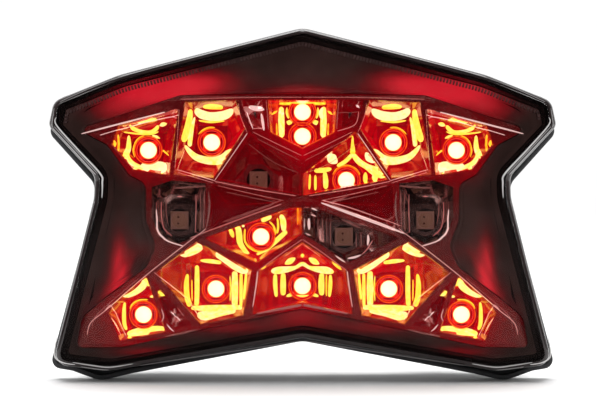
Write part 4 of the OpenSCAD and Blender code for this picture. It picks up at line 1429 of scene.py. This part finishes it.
# Highlights on the polished edge of the lens, as (brightness, line of (x, z, width)). Each is mirrored.
EDGE_LINES = [
    (0.55, [(0.4, 46.9, 0.2), (24.0, 41.0, 0.25), (50.0, 34.2, 0.25), (66.0, 27.8, 0.2)]),
    (0.60, [(67.6, 26.0, 0.15), (68.2, 21.8, 0.3), (67.8, 20.8, 0.2)]),
    (1.00, [(67.0, 23.6, 0.15), (66.9, 21.4, 0.35), (61.0, 14.8, 0.4), (54.8, 8.2, 0.45),
            (54.2, 5.6, 0.4), (54.3, 1.6, 0.2)]),
    (0.70, [(68.0, 20.6, 0.2), (62.0, 14.3, 0.3), (56.0, 7.9, 0.25)]),
    (0.62, [(67.5, 21.0, 0.2), (61.5, 14.6, 0.3), (55.5, 8.2, 0.25)]),
    (0.50, [(56.3, 0.8, 0.2), (61.0, -17.6, 0.25), (66.0, -36.0, 0.2)]),
    (0.95, [(67.0, -36.2, 0.15), (67.8, -40.6, 0.35), (67.2, -42.4, 0.45), (65.0, -43.4, 0.3),
            (62.0, -43.8, 0.2)]),
    (0.75, [(62.6, -43.2, 0.2), (57.0, -44.0, 0.35), (52.4, -44.4, 0.35), (46.0, -43.4, 0.2)]),
    (0.55, [(60.4, -44.4, 0.2), (56.0, -45.0, 0.3), (52.8, -45.2, 0.2)]),
    (0.40, [(0.4, -37.0, 0.2), (22.0, -40.4, 0.25), (44.0, -43.9, 0.2)]),
]


def build_edge_lines():
    """Fine beads along the polished edge of the lens, whose grey glow paints its highlights."""
    bm = bmesh.new()
    painted_light = bm.verts.layers.float.new("painted_light")
    for value, points in EDGE_LINES:
        for flip in (-1, 1):
            line = [(flip * x, z, w) for x, z, w in points]
            add_band(bm, painted_light, line, value, edge_surface, lift=0.05)
    finished("lens_edge_lines", bm, [MAT["edge"]], smooth=50)


def build_gap_shadows():
    """A black disc under each unlit LED: a painted shadow for the dark gap between the LED and the reflector.
    """
    bm = bmesh.new()
    for x, _, z in left_turn + right_turn:
        lathe(bm, (x, z), disc(3.3, FLOOR - 0.4, FLOOR + 0.03), 40)
    finished("led_gap_shadows", bm, [MAT["rubber"]])


# ---------------------------------------------------------------- the lamp

build_reflector()
build_collars()
build_painted_highlight_bands()
build_glints()
build_edge_lines()
build_gap_shadows()
build_bezel()
build_lens()
build_flutes()
build_domes("tail_led_windows", "tail_led_domes", MAT["lit_core"], 2.35, 0.7)
build_domes("left_turn_led_windows", "left_turn_led_domes", MAT["turn_resin"], 2.1, 0.04)
build_domes("right_turn_led_windows", "right_turn_led_domes", MAT["turn_resin"], 2.1, 0.04)
build_contacts()
# CAD node, name of its piece, material, slot, width of the broken edges in mm
PLAIN_PIECES = [
    ("tail_led_bodies", "tail_led_packages", "lit_body", "led_body", 0.2),
    ("left_turn_led_bodies", "left_turn_led_packages", "led_body", "led_body", 0.2),
    ("right_turn_led_bodies", "right_turn_led_packages", "led_body", "led_body", 0.2),
    ("rear_housing", "housing_shell", "housing", "housing_plastic", 0.35),
    ("lens_seal", "lens_seal_bead", "seal", "sealant", 0.2),
    ("led_board", "circuit_board", "board", "board", 0.15),
    ("led_resistors", "led_resistor_chips", "epoxy", "component_black", 0.1),
    ("polarity_diodes", "polarity_diode_bodies", "epoxy", "component_black", 0.15),
    ("smoothing_capacitors", "capacitor_cans", "can", "capacitor_can", 0.4),
    ("led_drivers", "led_driver_chips", "epoxy", "component_black", 0.15),
    ("harness_socket", "socket_shell", "socket", "socket_plastic", 0.25),
    ("socket_terminals", "socket_blades", "terminal", "terminal_brass", 0.15),
    ("socket_seal", "socket_gasket", "rubber", "seal_rubber", 0.3),
    ("board_screws", "board_screw_set", "screw", "screw_steel", 0.15),
    ("housing_screws", "housing_screw_set", "screw", "screw_steel", 0.2),
    ("screw_seals", "screw_seal_rings", "rubber", "seal_rubber", 0.2),
    ("mount_inserts", "mount_insert_set", "insert", "insert_brass", 0.2),
    ("mount_pads", "mount_pad_set", "rubber", "seal_rubber", 0.35),
    ("vent_cap", "breather_cap", "rubber", "seal_rubber", 0.4),
    ("vent_membrane", "breather_membrane", "membrane", "membrane", 0.1),
]
for node, name, look, slot, width in PLAIN_PIECES:
    softened(node, name, MAT[look], width)

# ---------------------------------------------------------------- floor, light and camera


def build_floor():
    """A pale sheet that lies flat under the lamp."""
    bm = bmesh.new()
    low = CAD_BOX[0].z
    corners = ((-6, -4), (6, -4), (6, 8), (-6, 8))
    bm.faces.new([bm.verts.new((x, y, low)) for x, y in corners])
    pale = grained("pale_floor", (0.92, 0.92, 0.92), 0.75, grain=300.0, tone=0.02, spread=0.05)
    floor = new_object("floor_sheet", bm, [pale])


def add_light(kind, name, at, aim, energy, **settings):
    data = bpy.data.lights.new(name, kind)
    data.energy = energy
    for key, value in settings.items():
        setattr(data, key, value)
    obj = bpy.data.objects.new(name, data)
    bpy.context.scene.collection.objects.link(obj)
    obj.location = at
    obj.rotation_euler = (Vector(aim) - Vector(at)).to_track_quat("-Z", "Y").to_euler()


def build_light():
    """White behind the lamp, dim in front, with a soft light from above and two strips at the sides."""
    world = bpy.data.worlds.new("studio")
    bpy.context.scene.world = world
    world.use_nodes = True
    background = world.node_tree.nodes["Background"]
    coords = add(world, "ShaderNodeTexCoord")
    axes = add(world, "ShaderNodeSeparateXYZ")
    link(world, coords.outputs["Generated"], axes.inputs[0])
    paint(world, background, "Color", axes.outputs["Y"], [(0.0, 0.22), (0.35, 0.4), (0.7, 1.0)])
    background.inputs["Strength"].default_value = 1.02
    add_light("SUN", "overhead", (0, 0.5, 1.6), (0, 0, 0), 3.2, angle=math.radians(50))
    strip = {"shape": "RECTANGLE", "size": 0.06, "size_y": 0.7}
    for name, x in (("left_strip", -0.55), ("right_strip", 0.55)):
        add_light("AREA", name, (x, -0.4, 0.25), (0, 0, 0), 1.6, **strip)


# The camera looks straight at the lens from this far in front of the mounting plane, in metres
CAMERA_REACH = 0.705
RIM_PLANE = 0.045  # depth of the rim of the lens, where the view is measured
VIEW_WIDTH = 164.175 * MM  # width of the view at that depth
SENSOR = 36.0


def build_camera():
    data = bpy.data.cameras.new("front_camera")
    data.sensor_width = SENSOR
    data.lens = SENSOR * (CAMERA_REACH - RIM_PLANE) / VIEW_WIDTH
    data.clip_start = 0.01
    data.clip_end = 20
    camera = bpy.data.objects.new("front_camera", data)
    bpy.context.scene.collection.objects.link(camera)
    camera.location = (-0.0011, -CAMERA_REACH, 0.0001)
    camera.rotation_euler = (math.pi / 2, 0, 0)
    bpy.context.scene.camera = camera


build_floor()
build_light()
build_camera()
bpy.context.scene.view_settings.view_transform = "Standard"
